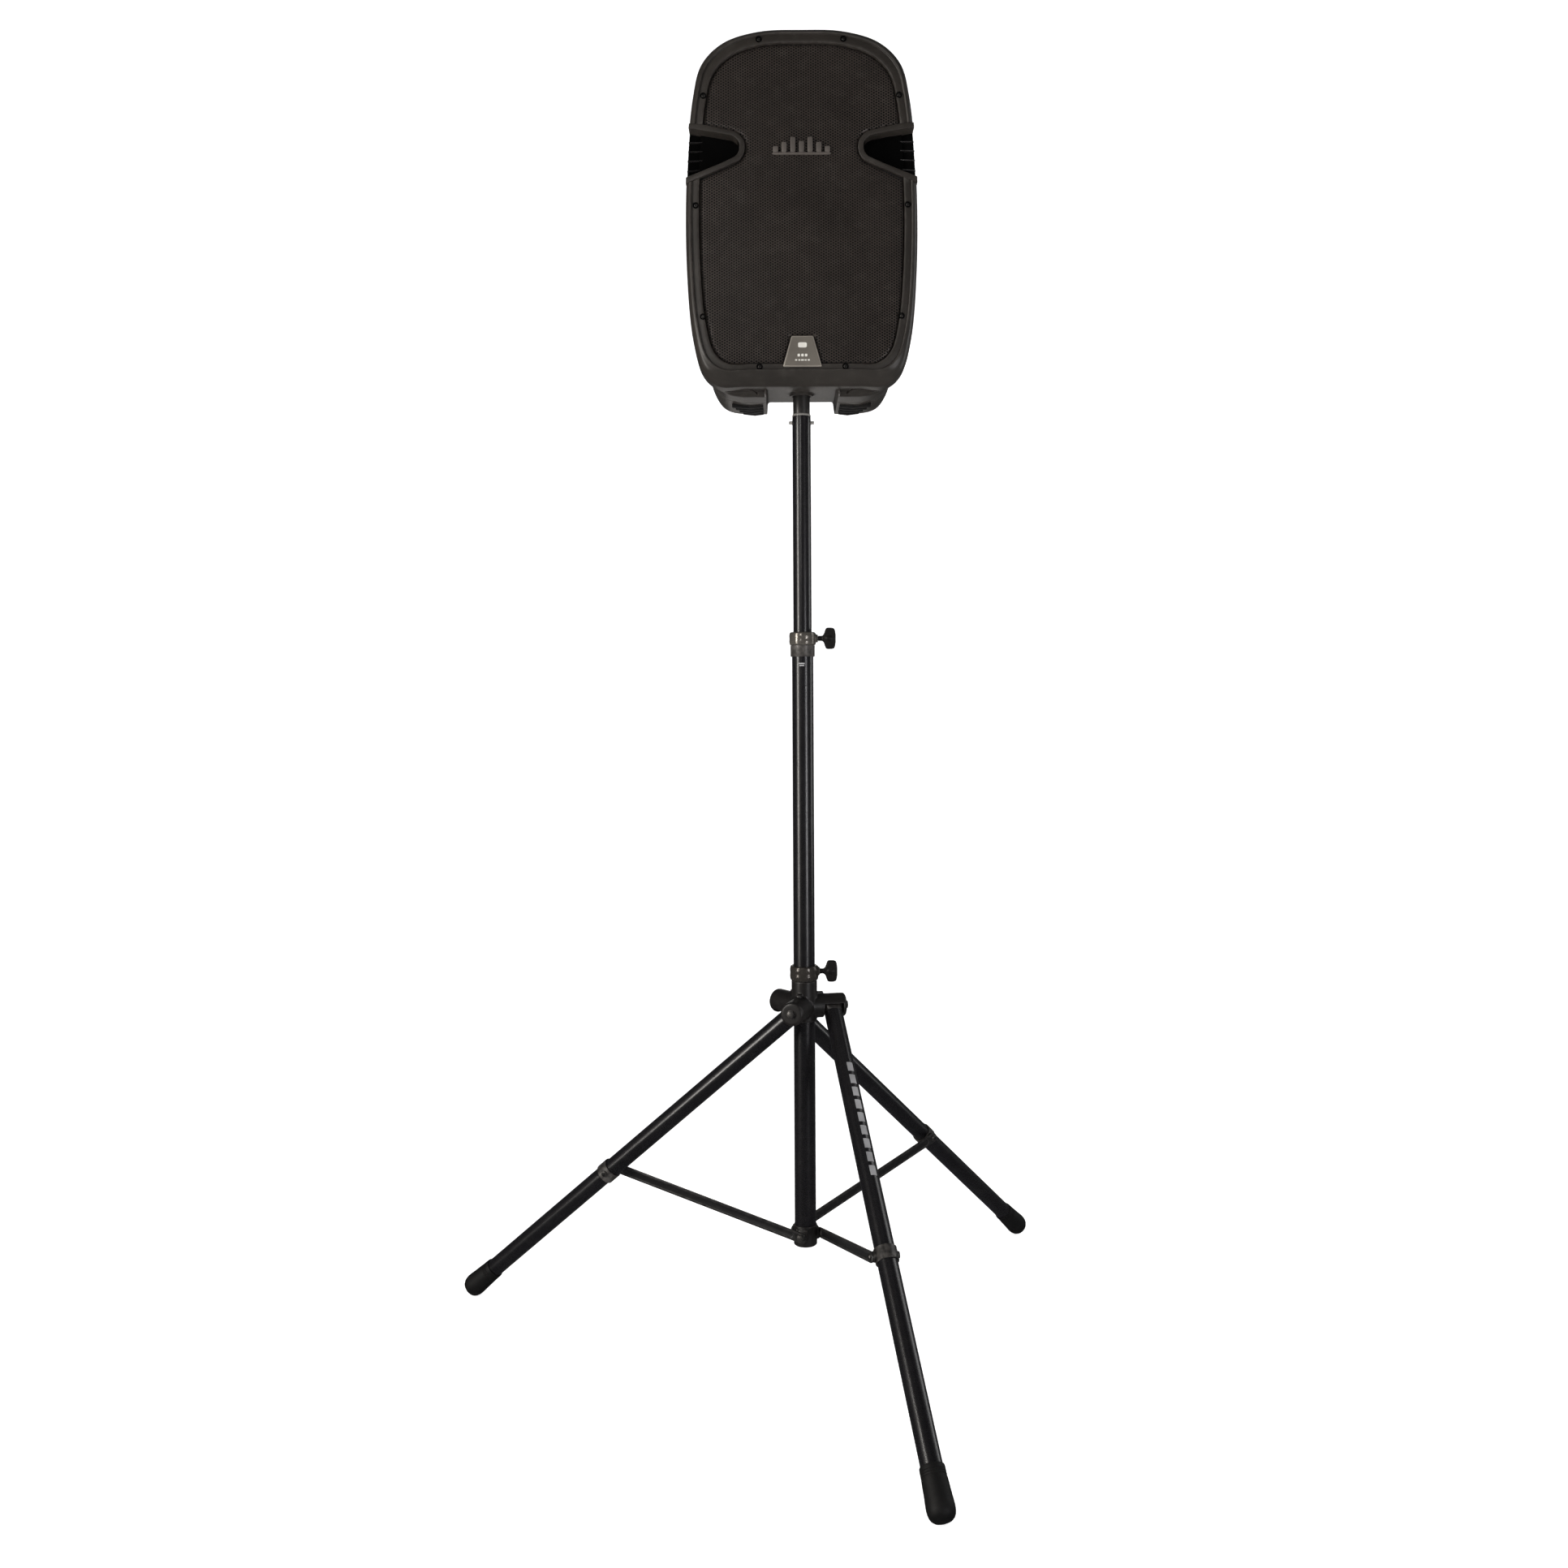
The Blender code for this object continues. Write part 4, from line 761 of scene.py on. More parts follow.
def make_panel_detail():
    """The panel's printed frame, scales and captions, its eight screws and its light."""
    prints = []
    for low, high in (((-0.113, 0.137), (0.113, 0.1385)), ((-0.113, 0.4615), (0.113, 0.463)),
                      ((-0.113, 0.1385), (-0.1115, 0.4615)), ((0.1115, 0.1385), (0.113, 0.4615)),
                      ((-0.111, 0.322), (0.111, 0.3232))):
        prints.append(block((low[0], FACE_Y, low[1]), (high[0], FACE_Y + 0.0004, high[1])))
    for joint in [j for n, j in JOINTS.items() if n.startswith("level_knob")]:
        at = Vector(joint["pos_m"]) - SEAT.translation
        for k in range(11):
            a = math.radians(-240 + 30 * k)
            mark = block((-0.0005, -0.0012, 0), (0.0005, 0.0012, 0.0004))
            out = Matrix.Translation((0.0125 * math.cos(a), 0.0125 * math.sin(a), 0))
            turn = Matrix.Rotation(a - math.pi / 2, 4, "Z")
            prints.append(moved(mark, on_panel(at.x, at.z) @ out @ turn))
    for x, z in ((-0.080, 0.262), (-0.035, 0.262), (0.0, 0.285), (-0.040, 0.164), (0.070, 0.168)):
        prints.append(block((x - 0.010, FACE_Y, z - 0.0012), (x + 0.010, FACE_Y + 0.0004, z + 0.0012)))
    show("panel_print", prints, SEAT, "print", "speaker", slot="panel")
    heads = []
    for x in (-0.108, 0.0, 0.108):
        for z in (0.142, 0.300, 0.458):
            if x or z != 0.300:
                heads.append(moved(screw_head(), basis((x, FACE_Y, z), (0, 1, 0), (1, 0, 0))))
    show("panel_screws", heads, SEAT, "screw", "speaker", slot="bolt")
    light = turned([(0, 0), (0.0022, 0), (0.0022, 0.0006), (0.0015, 0.0013), (0, 0.0016)], 24)
    at = basis((0.010, FACE_Y, 0.185), (0, 1, 0), (1, 0, 0))
    show("power_light", moved(light, at), SEAT, "contact", "speaker", slot="panel")


def make_fins():
    """The heat sink: a plate with thirteen tapered fins."""
    half, fins, base = 0.100, 13, FACE_Y + GAP
    thick, rise, low, high = 0.0022, 0.0145, 0.330, 0.455
    pitch = (2 * half - thick) / (fins - 1)
    parts = [block((-half, base, low), (half, base + 0.003, high))]
    for k in range(fins):
        x = -half + k * pitch
        side = [(x, base + 0.0028), (x + thick, base + 0.0028), (x + thick * 0.78, base + rise),
                (x + thick * 0.22, base + rise)]
        parts.append(prism(side, low, high))
    edges = rounded(0.0004, 2, 50)
    show("heat_sink_fins", parts, SEAT, "fins", "speaker", "heat_sink", slot="fins", steps=[edges])


def on_panel(x, z):
    """The frame of something round on the panel's face: Z points out of it."""
    return basis((x, FACE_Y, z), (0, 1, 0), (-1, 0, 0))


def rectangle(x, z, half_w, half_h):
    """The four corners of a rectangle round (x, z)."""
    return [(x + a * half_w, z + b * half_h) for a, b in ((-1, -1), (1, -1), (1, 1), (-1, 1))]


def make_sockets():
    """Jacks with a collar, a latch and three contacts, and the power inlet with its three blades."""
    rings, contacts = [], []
    for name in ("audio_jack_1", "audio_jack_2"):
        at = centre_of(name) - SEAT.translation
        place = on_panel(at.x, at.z)
        profile = [(0.0108, -0.012), (0.0108, 0.0030), (0.0116, 0.0040), (0.0136, 0.0040), (0.0144, 0.0030),
                   (0.0144, 0.0)]
        rings.append(moved(turned(profile, 48), place))
        rings.append(moved(block((-0.0035, 0.0085, -0.012), (0.0035, 0.0110, 0.0035)), place))
        for degrees in (30, 150, 270):
            a = math.radians(degrees)
            spot = Matrix.Translation((0.0052 * math.cos(a), 0.0052 * math.sin(a), 0))
            contacts.append(moved(rod(0.0013, -0.0135, -0.0045, 16), place @ spot))
    inlet = centre_of("power_inlet") - SEAT.translation
    for dx, dz in ((-0.0055, -0.002), (0.0, 0.003), (0.0055, -0.002)):
        low = (inlet.x + dx - 0.0010, FACE_Y - 0.0155, inlet.z + dz - 0.0022)
        high = (inlet.x + dx + 0.0010, FACE_Y - 0.0020, inlet.z + dz + 0.0022)
        contacts.append(block(low, high))
    lip = softened(rectangle(inlet.x, inlet.z, 0.0172, 0.0142), 0.003)
    room = rectangle(inlet.x, inlet.z, 0.0125, 0.0090)
    bezel = as_object("inlet_bezel", slab(lip, FACE_Y + 0.0003, FACE_Y + 0.0030), SEAT)
    cut(bezel, as_object("inlet_room", slab(room, FACE_Y - 0.01, FACE_Y + 0.01), SEAT))
    piece(baked(bezel, rounded(0.0007, 2, 50)), "socket", "speaker", slot="socket")
    show("jack_collars", rings, SEAT, "socket", "speaker", slot="socket", smooth=40)
    show("socket_contacts", contacts, SEAT, "contact", "speaker", slot="socket")


def make_level_knobs():
    """Two fluted knobs, each with a pointer line."""
    sides = 96
    for name in ("level_knob_1", "level_knob_2"):
        rings = []
        for radius, depth in ((0.0085, 0.0004), (0.0085, 0.0040), (0.0079, 0.0120), (0.0072, 0.0138),
                              (0.0062, 0.0142)):
            grip = 0.0004 if 0.002 < depth < 0.013 else 0.0
            radii = [radius - grip * (k % 4 < 2) for k in range(sides)]
            rings.append([(r * math.cos(math.tau * k / sides), r * math.sin(math.tau * k / sides), depth)
                          for k, r in enumerate(radii)])
        place = basis(Vector(JOINTS[f"{name}_turn"]["pos_m"]), (0, 1, 0), (-1, 0, 0))
        show(f"{name}_cap", loft(rings), place, "knob", name, name, slot="knob", smooth=30)
        line = block((-0.0004, 0.0020, 0.0140), (0.0004, 0.0060, 0.0146))
        show(f"{name}_line", line, place, "mark", name, slot="knob")


# ---------------------------------------------------------------- the stand


def polar(number):
    """The directions out along a leg and across it, from its joint's axis."""
    across = Vector(JOINTS[f"leg_{number}_fold"]["axis"])
    return Vector((across.y, -across.x, 0)), across


def make_tube(name, radius, wall, low, high, matrix, body, *stands_for):
    """A tube along Z with its ends' edges broken."""
    lip = 0.0008
    inner = radius - wall
    profile = [(radius - lip, low), (radius, low + lip), (radius, high - lip), (radius - lip, high),
               (inner + lip / 2, high), (inner, high - lip), (inner, low + lip), (inner + lip / 2, low)]
    show(name, turned(profile, 72), matrix, "tube", body, *stands_for, slot="tube", smooth=40)


def make_mast():
    """The main tube and the pole in it, their castings, and a small plain label under the collar."""
    low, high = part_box("main_tube")
    make_tube("main_tube_skin", MAIN_R, 0.0014, low.z, high.z, MAST_AT, "mast", "main_tube")
    low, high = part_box("pole")
    make_tube("pole_skin", POLE_R, 0.0020, low.z, high.z, MAST_AT, "pole", "pole")
    make_collar()
    make_spigot()
    make_base_bracket()
    label = []
    for row, width in ((0, 0.0072), (1, 0.0060)):
        z = 1.3895 - 0.0042 * row
        turns = [math.radians(-96 + 2 * k * width / 0.0072 * 2.6) for k in range(-3, 4)]
        for a, b in zip(turns, turns[1:]):
            edges = ((MAIN_R, a), (MAIN_R, b), (MAIN_R + 0.0002, b), (MAIN_R + 0.0002, a))
            corners = [(r * math.cos(t), r * math.sin(t)) for r, t in edges]
            label.append(prism(corners, z - 0.0011, z + 0.0011))
    show("tube_label", label, MAST_AT, "print", "mast", slot="tube")


def make_collar():
    """A ring painted brighter than the hub's ring as painted light, over a short sleeve, with a flared clamp
    boss where the knob's screw goes in.
    """
    low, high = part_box("tube_collar")
    ring_z, top = low.z + 0.0235, high.z
    sleeve = [(BRACKET_FIT, low.z), (0.0246, low.z), (0.0252, low.z + 0.0010), (0.0254, ring_z - 0.0005),
              (BRACKET_FIT, ring_z - 0.0005)]
    show("collar_sleeve", turned(sleeve, 72), MAST_AT, "sleeve", "mast", "tube_collar", slot="cast")
    at = basis((0, 0, JOINTS["collar_knob_turn"]["pos_m"][2]), (1, 0, 0), (0, 1, 0))
    cap = clamp_cast("collar_ring", ring_z, top, 0.0272, 0.0318, at)
    cut(cap, as_object("bore", rod(POLE_R + 0.0006, ring_z - 0.01, top + 0.01, 72), MAST_AT),
        as_object("seat", rod(BRACKET_FIT, ring_z - 0.01, ring_z + 0.009, 72), MAST_AT),
        as_object("hole", rod(SCREW_HOLE_R, 0.0, 0.05, 24), MAST_AT @ at), smooth=45)
    # the collar's ring, painted lighter than the hub's ring of the same cast as painted light
    piece(cap, "ring", "mast", slot="cast")


def clamp_cast(name, low, high, outer, boss_end, at):
    """A cast clamp ring with rolled edges and a slight waist, and a flared boss along Z of the frame at."""
    middle, half = (low + high) / 2, (high - low) / 2
    profile = [(0, low)] + arc((outer - 0.0030, low + 0.0030), 0.0030, -90, 0, 6)
    profile += [(outer + 0.0007, middle - half * 0.45), (outer + 0.0002, middle),
                (outer + 0.0007, middle + half * 0.45)]
    profile += arc((outer - 0.0036, high - 0.0036), 0.0036, 0, 90, 6) + [(0, high)]
    boss = turned([(0, 0.012), (0.0118, 0.012), (0.0108, outer - 0.001), (0.0086, outer + 0.0014),
                   (0.0074, boss_end - 0.0008), (0.0062, boss_end), (0, boss_end)], 48)
    return cast_union(name, [turned(profile, 96), moved(boss, at)], MAST_AT, 0.0008, 3)


def make_spigot():
    """The spigot on the pole's top, its bright shoulder ring, and the cross pin's two ends with washers."""
    low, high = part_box("spigot")
    pole_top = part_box("pole")[1].z
    radius, flange = 0.01745, 0.01945
    ring_top = pole_top + 0.0042
    body = [(0, low.z), (0.0165, low.z), (0.0165, pole_top + GAP), (radius - 0.0004, pole_top + GAP),
            (radius, ring_top), (radius, high.z - 0.006)]
    body += arc((radius - 0.004, high.z - 0.004), 0.004, 0, 90, 5) + [(0, high.z)]
    show("spigot_skin", turned(body, 64), MAST_AT, "spigot", "pole", "spigot", slot="spigot")
    shoulder = [(radius + 0.0002, pole_top + GAP), (flange, pole_top + GAP), (flange, pole_top + 0.0014),
                (flange - 0.0012, ring_top), (radius + 0.0002, ring_top + 0.0006)]
    show("shoulder_ring", turned(shoulder, 64), MAST_AT, "bright", "pole", slot="spigot")
    pin = [(0, 0.016), (0.0034, 0.016), (0.0034, 0.0250), (0.0030, 0.0262), (0.0016, 0.0262),
           (0.0013, 0.0240), (0, 0.0240)]
    washer = [(0.0035, 0.0192), (0.0046, 0.0192), (0.0046, 0.0200), (0.0035, 0.0202)]
    ends = []
    for side in (-1, 1):
        for profile in (pin, washer):
            ends.append(moved(turned(profile, 24), basis((0, 0, 0), (side, 0, 0), (0, 1, 0))))
    at = Matrix.Translation(centre_of("cross_pin"))
    show("cross_pin_ends", ends, at, "bright", "pole", slot="bolt")


def cast_union(name, parts, matrix, voxel, passes):
    """One soft-edged casting from overlapping solids: remeshed together, then relaxed into fillets."""
    made = joined(name, parts, matrix)
    return baked(made, ("REMESH", {"mode": "VOXEL", "voxel_size": voxel, "use_smooth_shade": True}),
        ("SMOOTH", {"factor": 0.5, "iterations": passes}), smooth=0)


def pin_frame(number, z):
    """A frame on the mast's axis at height z, with Z across the numbered leg and X out along it."""
    out, across = polar(number)
    return basis((0, 0, z), across, out)


def make_base_bracket():
    """The bracket at the mast's foot with three brace pins, and their bolts' heads."""
    low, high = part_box("base_bracket")
    outer = 0.0243
    parts = [turned(((0, low.z), (outer - 0.002, low.z), (outer, low.z + 0.002), (outer, high.z),
                     (0, high.z)), 64)]
    for number in LEGS:
        at = pin_frame(number, BRACE_PIN_Z)
        parts.append(moved(rod(0.0125, 0.0100, SIDE_BRACE - 0.0021, 40), at))
        web = block((-0.0120, -0.0150, 0.0120), (0.0120, 0.0, SIDE_BRACE - 0.0040))
        parts.append(moved(web, at))
    bracket = cast_union("base_bracket_cast", parts, MAST_AT, 0.0010, 4)
    bore = as_object("bracket_bore", rod(BRACKET_FIT, low.z + 0.0055, high.z + 0.02, 72), MAST_AT)
    piece(cut(bracket, bore, smooth=40), "cast", "mast", "base_bracket", slot="cast")
    for number in LEGS:
        at = MAST_AT @ pin_frame(number, BRACE_PIN_Z)
        hex_bolt(f"brace_bolt_{number}", at, 0.0235, SIDE_BRACE + 0.0023, 0.0078, "mast")


def hex_bolt(node, at, shank_from, start, radius, body):
    """A bolt's washer, hexagonal head and shank, along Z from its CAD node's place."""
    washer = ((0.0, start), (radius * 1.08, start), (radius * 1.08, start + 0.0008), (0.0, start + 0.0008))
    turns = [math.radians(60 * k) for k in range(6)]
    head = [(radius * math.cos(a), radius * math.sin(a)) for a in turns]
    parts = [turned(washer, 40), prism(head, start + 0.0007, start + 0.0050),
             rod(0.0039, shank_from, start + 0.0001, 24)]
    show(f"{node}_head", parts, at, "black_bolt", body, node, slot="bolt", steps=[rounded(0.0005, 2, 40)])


def make_hub():
    """The sliding casting: sleeve, three forked barrels and the webs between them, under a clamp ring."""
    (_, _, foot), (_, _, top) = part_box("hub")
    ring_z, bore, end_round = 0.7300, MAIN_R + 0.0017, 0.006
    parts = [turned(((0, foot), (0.0262, foot), (0.0266, ring_z - 0.001), (0, ring_z - 0.001)), 64)]
    barrel = [(0, 0.008), (BARREL_R, 0.008), (BARREL_R, BARREL_END - end_round)]
    barrel += arc((BARREL_R - end_round, BARREL_END - end_round), end_round, 0, 90, 5) + [(0, BARREL_END)]
    for number in LEGS:
        at = pin_frame(number, PIVOT_Z)
        parts.append(moved(turned(barrel, 56), at))
        parts.append(moved(block((-0.004, -0.030, 0.010), (0.004, 0.0, 0.040)), at))
    hub = cast_union("hub_cast", parts, MAST_AT, 0.0013, 5)
    tools = [as_object("hub_bore", rod(bore, foot - 0.02, top + 0.02, 72), MAST_AT)]
    tools += [as_object("fork_slot", fork_slot(), MAST_AT @ pin_frame(number, PIVOT_Z)) for number in LEGS]
    piece(cut(hub, *tools, smooth=40), "cast", "hub", "hub", slot="cast")
    at = basis((0, 0, JOINTS["hub_knob_turn"]["pos_m"][2]), (1, 0, 0), (0, 1, 0))
    cap = clamp_cast("hub_ring_painted_shade", ring_z, top, 0.0290, 0.0330, at)
    cut(cap, as_object("ring_bore", rod(bore, foot, top + 0.01, 72), MAST_AT),
        as_object("ring_hole", rod(SCREW_HOLE_R, 0.0, 0.05, 24), MAST_AT @ at), smooth=45)
    # the hub's ring, painted darker than the collar's ring of the same cast as painted shade
    piece(cap, "hub_ring_painted_shade", "hub", slot="cast")
    for number in LEGS:
        at = MAST_AT @ pin_frame(number, PIVOT_Z)
        hex_bolt(f"leg_bolt_{number}", at, 0.0290, BARREL_END + GAP, 0.0085, "hub")


def fork_slot():
    """The room a leg's end sweeps in its fork: discs round the pivot and along the leg's two limits."""
    bm = bmesh.new()
    radius, reach_out, sides = 0.0203, 0.07, 40
    for degrees, reach in ((0, 0.0), (2, reach_out), (51, reach_out)):
        a = math.radians(degrees)
        for k in range(sides):
            t = math.tau * k / sides
            x = reach * math.sin(a) + radius * math.cos(t)
            y = reach * math.cos(a) + radius * math.sin(t)
            bm.verts.new((x, y, SLOT_FROM))
            bm.verts.new((x, y, SLOT_TO))
    made = bmesh.ops.convex_hull(bm, input=bm.verts)
    spare = {v for v in made["geom_interior"] + made["geom_unused"] if isinstance(v, bmesh.types.BMVert)}
    bmesh.ops.delete(bm, geom=list(spare), context="VERTS")
    return bm


def make_knob(name, body, joint):
    """A moulded wing knob: a thin neck that flares into a broad flat blade, over its steel screw."""
    at = basis(JOINTS[joint]["pos_m"], (1, 0, 0), (0, 1, 0))
    neck = [(0, 0.0325), (0.0056, 0.0325), (0.0052, 0.0360), (0.0054, 0.0410), (0.0064, 0.0460),
        (0.0082, 0.0510), (0.0084, 0.0580), (0.0060, 0.0640), (0, 0.0655)]
    upper = [(0.0052, 0.0400), (0.0066, 0.0425), (0.0098, 0.0446), (0.0150, 0.0462), (0.0196, 0.0480),
        (0.0219, 0.0500), (0.0224, 0.0540), (0.0222, 0.0620), (0.0204, 0.0662), (0.0160, 0.0680),
        (0.0080, 0.0692)]
    outline = upper + [(-a, b) for a, b in reversed(upper)]

    def blade(x, shrink):
        return [(x, a * shrink, 0.0560 + (b - 0.0560) * shrink) for a, b in outline]

    rings = [blade(-0.0062, 0.88), blade(-0.0042, 0.98), blade(0.0, 1.0), blade(0.0042, 0.98),
        blade(0.0062, 0.88)]
    knob = cast_union(f"{name}_wings", [turned(neck, 48), loft(rings)], at, 0.0006, 3)
    piece(knob, "knob", body, name, slot="knob")
    washer = turned([(0.0042, 0.0306), (0.0085, 0.0306), (0.0085, 0.0316), (0.0042, 0.0322)], 32)
    show(f"{name}_washer", washer, at, "bolt", body, slot="bolt")


def make_leg(number):
    out, across = polar(number)
    along = out * math.sin(LEG_TILT) - Vector((0, 0, 1)) * math.cos(LEG_TILT)
    pivot = MAST + across * SIDE_LEG + Vector((0, 0, PIVOT_Z))
    at = basis(pivot, along, across)
    name, body = f"leg_{number}", f"leg_{number}"
    end = LEG_TIP - 0.0310
    make_tube(f"{name}_skin", LEG_R, 0.0015, LEG_START, end, at, body, f"{name}_tube")
    make_boot(name, body, at, end)
    make_knuckle(name, body, at)
    make_clamp(name, body, at)
    if number == 3:
        make_leg_print(body, at)


def make_boot(name, body, at, end):
    mouth, tip = LEG_R + GAP, LEG_TIP
    profile = [(mouth, tip - 0.0840), (0.0205, tip - 0.0850), (0.0211, tip - 0.0846),
        (0.0215, tip - 0.0830)]
    for k in range(3):
        z = tip - 0.0770 + 0.0040 * k
        profile += [(0.0217, z), (0.0211, z + 0.0006), (0.0211, z + 0.0016), (0.0218, z + 0.0022)]
    profile += [(0.0224, tip - 0.0580), (0.0231, tip - 0.0400), (0.0240, tip - 0.0270),
        (0.0241, tip - 0.0205), (0.0236, tip - 0.0150), (0.0223, tip - 0.0100), (0.0198, tip - 0.0056),
        (0.0158, tip - 0.0024), (0.0105, tip - 0.0006), (0.0050, tip - 0.0001), (0, tip),
        (0, end + GAP), (mouth, end + GAP)]
    show(f"{name}_boot_skin", turned(profile, 64), at, "rubber", body, f"{name}_boot", slot="rubber",
        smooth=40)


def make_knuckle(name, body, at):
    """The leg's end plug: a round tongue on the pivot that swells to the tube's own width."""
    half = 0.0186
    rings = []
    for k in range(9):
        t = k / 8
        z = -0.0180 * math.cos(t * math.pi / 2) if t < 1 else 0.0
        wide = math.sqrt(max(0.0180**2 - z**2, 1e-8)) + 0.0002
        rings.append([(x, y, z) for x, y in superellipse(half, wide, 10, 48)])
    rings.append([(x, y, 0.0120) for x, y in superellipse(half, 0.0182, 5, 48)])
    for radius, z in ((LEG_R - 0.0002, LEG_START - 0.0010), (LEG_R - 0.0006, LEG_START - 0.0004),
            (0.0168, LEG_START - 0.0004), (0.0168, 0.0640)):
        rings.append([(x, y, z) for x, y in superellipse(radius, radius, 2, 48)])
    made = as_object(f"{name}_knuckle_skin", loft(rings), at)
    sideways = at @ basis((0, 0, 0), (1, 0, 0), (0, 1, 0))
    hole = as_object("bolt_hole", rod(PIN_HOLE_R, -0.05, 0.05, 24), sideways)
    piece(cut(made, hole), "cast", body, f"{name}_knuckle", slot="cast")


def make_clamp(name, body, at):
    """A band round the leg with an ear towards its brace, and a bolt through the ear's far side."""
    inner, outer, half = LEG_R + GAP, LEG_R + 0.0030, 0.0130
    band = turned([(inner, -half), (outer - 0.0008, -half), (outer, -half + 0.0008),
        (outer, half - 0.0008), (outer - 0.0008, half), (inner, half)], 64)
    place = at @ Matrix.Translation((0, 0, BRACE_JOINT))
    clamp = as_object(f"{name}_clamp_band", band, place)
    ear_at = place @ basis((0, 0, 0), (-1, 0, 0), (0, 1, 0))
    length = SIDE_LEG - SIDE_BRACE - 0.0027
    ear = turned([(0, LEG_R + 0.001), (0.0105, LEG_R + 0.001), (0.0098, length - 0.001),
        (0.0088, length), (0, length)], 40)
    cut(clamp, as_object("ear", ear, ear_at), operation="UNION")
    piece(baked(clamp, rounded(0.0005, 2, 60)), "cast", body, f"{name}_clamp", slot="cast")
    far = place @ basis((0, 0, 0), (1, 0, 0), (0, 1, 0))
    head = turned([(0, LEG_R), (0.0066, LEG_R), (0.0066, LEG_R + 0.0042), (0.0058, LEG_R + 0.0058),
        (0.0034, LEG_R + 0.0064), (0, LEG_R + 0.0064)], 32)
    show(f"{name}_clamp_bolt", head, far, "black_bolt", body, slot="bolt")


def make_leg_print(body, at):
    """Plain printed dashes along the leg that faces the front, one after another with even gaps."""
    dashes = []
    front = at.inverted().to_3x3() @ Vector((0.50, -1, 0.35))
    middle = math.atan2(front.y, front.x)
    for k in range(9):
        low = 0.1560 + 0.0290 * k
        high = low + 0.0205
        turns = [middle + math.radians(4.0 * t) for t in range(-5, 6)]
        rows = []
        for radius in (LEG_R - 0.0002, LEG_R + 0.00018):
            corners = [(a, low) for a in turns] + [(a, high) for a in turns[::-1]]
            rows.append([(radius * math.cos(a), radius * math.sin(a), z) for a, z in corners])
        dashes.append(loft(rows))
    show("leg_print", dashes, at, "print", body, slot="tube")


def make_brace(number):
    """A pressed flat bar with a shallow channel, rolled edges, and a rivet at the leg's end."""
    out, across = polar(number)
    joint = JOINTS[f"brace_{number}_fold"]
    reach = BRACE_JOINT * math.sin(LEG_TILT)
    rise = PIVOT_Z - BRACE_JOINT * math.cos(LEG_TILT) - BRACE_PIN_Z
    length = math.hypot(reach, rise)
    along = out * reach / length + Vector((0, 0, 1)) * rise / length
    at = basis(joint["pos_m"], across, along)
    half_w, half_t = 0.0102, 0.0020

    def stadium(half, inset=0.0):
        turns = [math.radians(90 + 180 * k / 16) for k in range(17)]
        left = [(half * math.cos(a) + inset, half * math.sin(a)) for a in turns]
        return left + [(length - half * math.cos(a) - inset, -half * math.sin(a)) for a in turns]

    bar = as_object(f"brace_{number}_bar", prism(stadium(half_w), -half_t, half_t), at)
    grooves = [prism(stadium(0.0062, 0.024), z, z + 0.0030) for z in (0.0011, -0.0041)]
    tools = [as_object("tool", tool, at) for tool in grooves + [rod(PIN_HOLE_R, -0.01, 0.01, 24)]]
    cut(bar, *tools)
    piece(baked(bar, rounded(0.0006, 2, 50)), "brace", f"brace_{number}", f"brace_{number}",
        slot="brace")
    rivet = turned([(0, -0.0062), (0.0030, -0.0062), (0.0054, -0.0054), (0.0068, -0.0036),
        (0.0070, 0.0018), (0, 0.0018)], 32)
    place = at @ Matrix.Translation((length, 0, 0))
    show(f"brace_{number}_rivet", rivet, place, "black_bolt", f"brace_{number}", slot="bolt")


# ---------------------------------------------------------------- carried-over CAD nodes, stage and camera


def dress_cad():
    """Every CAD node that is still shown gets its finish."""
    looks = {"grille_foam": "foam", "woofer_basket": "steel", "woofer_surround": "rubber",
        "woofer_cone": "cone", "woofer_dust_cap": "cone", "woofer_magnet": "steel", "horn": "cone",
        "compression_driver": "steel", "amp_panel": "panel", "audio_jack_1": "socket",
        "audio_jack_2": "socket", "power_inlet": "socket", "power_rocker": "knob", "amp_board": "board",
        "socket_bush": "nylon", "collar_bush": "nylon", "hub_bush": "nylon",
        "collar_knob_screw": "bolt", "hub_knob_screw": "bolt", "cross_pin": "bolt"}
    for name, look in looks.items():
        node = NODES[name]
        node.data.materials.clear()
        node.data.materials.append(LOOKS[look])
        node.data.shade_smooth()
        node.data.set_sharp_from_angle(angle=math.radians(40))


def glowing(name, strength, grey, roughness):
    """A white glow over a plain grey."""
    made = bpy.data.materials.new(name)
    made.use_nodes = True
    inputs = made.node_tree.nodes["Principled BSDF"].inputs
    inputs["Base Color"].default_value = (grey, grey, grey, 1)
    inputs["Roughness"].default_value = roughness
    inputs["Emission Color"].default_value = (1, 1, 1, 1)
    inputs["Emission Strength"].default_value = strength
    return made


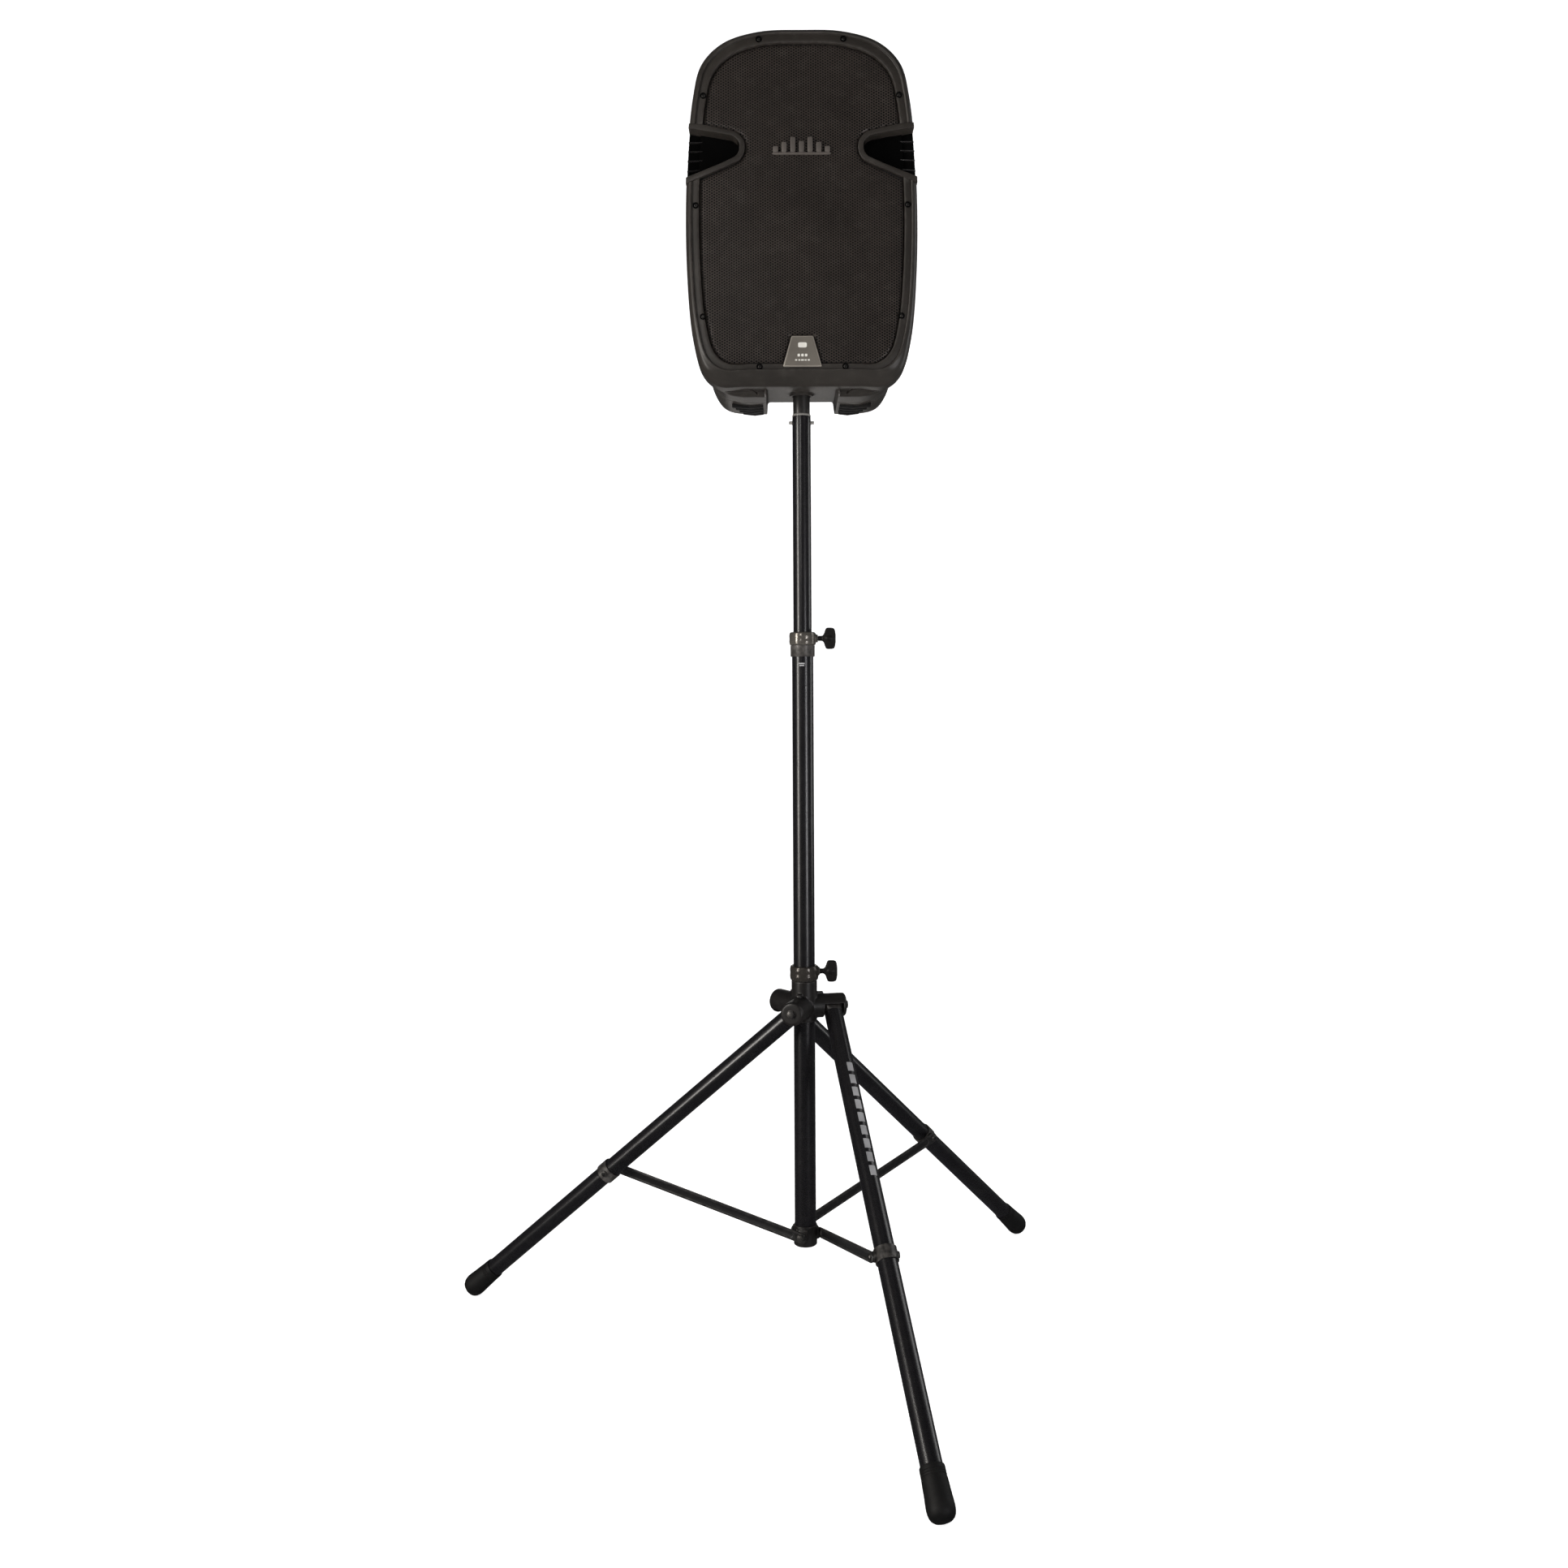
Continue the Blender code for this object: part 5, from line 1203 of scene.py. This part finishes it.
def make_stage():
    """A glowing paper floor that bends up behind the object, and a wall all round it."""
    bm = bmesh.new()
    half, rise, back, bend = 14.0, 9.0, 7.0, 3.0
    rows = [(-half, 0.0), (back - bend, 0.0)]
    turns = [math.pi / 2 * k / 12 for k in range(1, 13)]
    rows += [(back - bend + bend * math.sin(a), bend - bend * math.cos(a)) for a in turns]
    rows.append((back, rise))
    strips = [[bm.verts.new((x, y, z - 0.0005)) for x in (-half, half)] for y, z in rows]
    for a, b in zip(strips, strips[1:]):
        bm.faces.new((a[0], a[1], b[1], b[0]))
    floor = as_object("floor", bm)
    floor.data.shade_smooth()
    floor.data.materials.append(glowing("paper", 0.80, 0.86, 0.9))
    floor.visible_glossy = False
    radius, top = 13.0, 14.0
    profile = ((radius, -0.1), (radius, top), (radius + 0.1, top), (radius + 0.1, -0.1))
    wall = baked(as_object("wall", turned(profile, 96)))
    wall.data.materials.append(glowing("glow", 1.0, 0.8, 0.5))
    wall.visible_glossy = wall.visible_diffuse = wall.visible_shadow = False  # seen behind the object only


def lamp(name, place, aim, size, power, colour=(1, 1, 1)):
    data = bpy.data.lights.new(name, "AREA")
    data.shape = "RECTANGLE"
    data.size, data.size_y = size
    data.energy = power
    data.color = colour
    made = in_scene(name, data)
    made.location = place
    made.rotation_mode = "QUATERNION"
    made.rotation_quaternion = (Vector(aim) - Vector(place)).to_track_quat("-Z", "Y")


def make_lights():
    lamp("key", (-3.2, -2.2, 1.9), (0.1, 0.1, 1.5), (0.6, 3.2), 106, (1.0, 0.96, 0.91))
    lamp("high", (-1.15, -3.7, 2.7), (0.0, 0.0, 1.9), (0.40, 1.0), 12, (1.0, 0.98, 0.96))
    lamp("fill", (2.4, -3.1, 0.9), (0.0, 0.0, 1.2), (0.5, 1.4), 28, (0.98, 0.97, 1.0))
    lamp("under", (-0.1, 3.0, 1.2), (0.0, 0.0, 1.93), (1.3, 0.5), 2.4, (1.0, 0.96, 0.92))
    lamp("rim", (3.6, 0.9, 2.2), (0.1, 0.1, 1.6), (0.8, 3.4), 25)
    lamp("top", (0.0, 0.2, 5.2), (0.1, 0.1, 0.0), (4.0, 4.0), 6)
    world = bpy.data.worlds.new("studio")
    world.use_nodes = True
    world.node_tree.nodes["Background"].inputs["Color"].default_value = (0.90, 0.92, 0.95, 1)
    world.node_tree.nodes["Background"].inputs["Strength"].default_value = 0.05
    bpy.context.scene.world = world
    bpy.context.scene.view_settings.view_transform = "Standard"


def make_camera():
    """A level camera three metres in front, with the horizon above the middle and a slight roll."""
    data = bpy.data.cameras.new("camera")
    data.sensor_width = 36.0
    data.lens = 33.7770
    data.shift_x, data.shift_y = 0.00067, -0.05854
    place = Matrix.Translation(MAST + Vector((-0.0415, -3.072, 1.330)))
    level = Matrix.Rotation(math.pi / 2, 4, "X")
    roll = Matrix.Rotation(-math.atan(0.00495), 4, "Z")
    bpy.context.scene.camera = in_scene("camera", data, place @ level @ roll)


make_camera()
make_stage()
make_lights()
make_front_shell()
make_rear_shell()
make_notch_lining()
make_feet_ridges()
make_handles()
make_grille()
make_badge_and_emblem()
make_grille_screws()
make_panel_detail()
make_fins()
make_sockets()
make_level_knobs()
make_mast()
make_hub()
make_knob("hub_knob", "hub_knob", "hub_knob_turn")
make_knob("collar_knob", "collar_knob", "collar_knob_turn")
for leg in LEGS:
    make_leg(leg)
    make_brace(leg)
dress_cad()
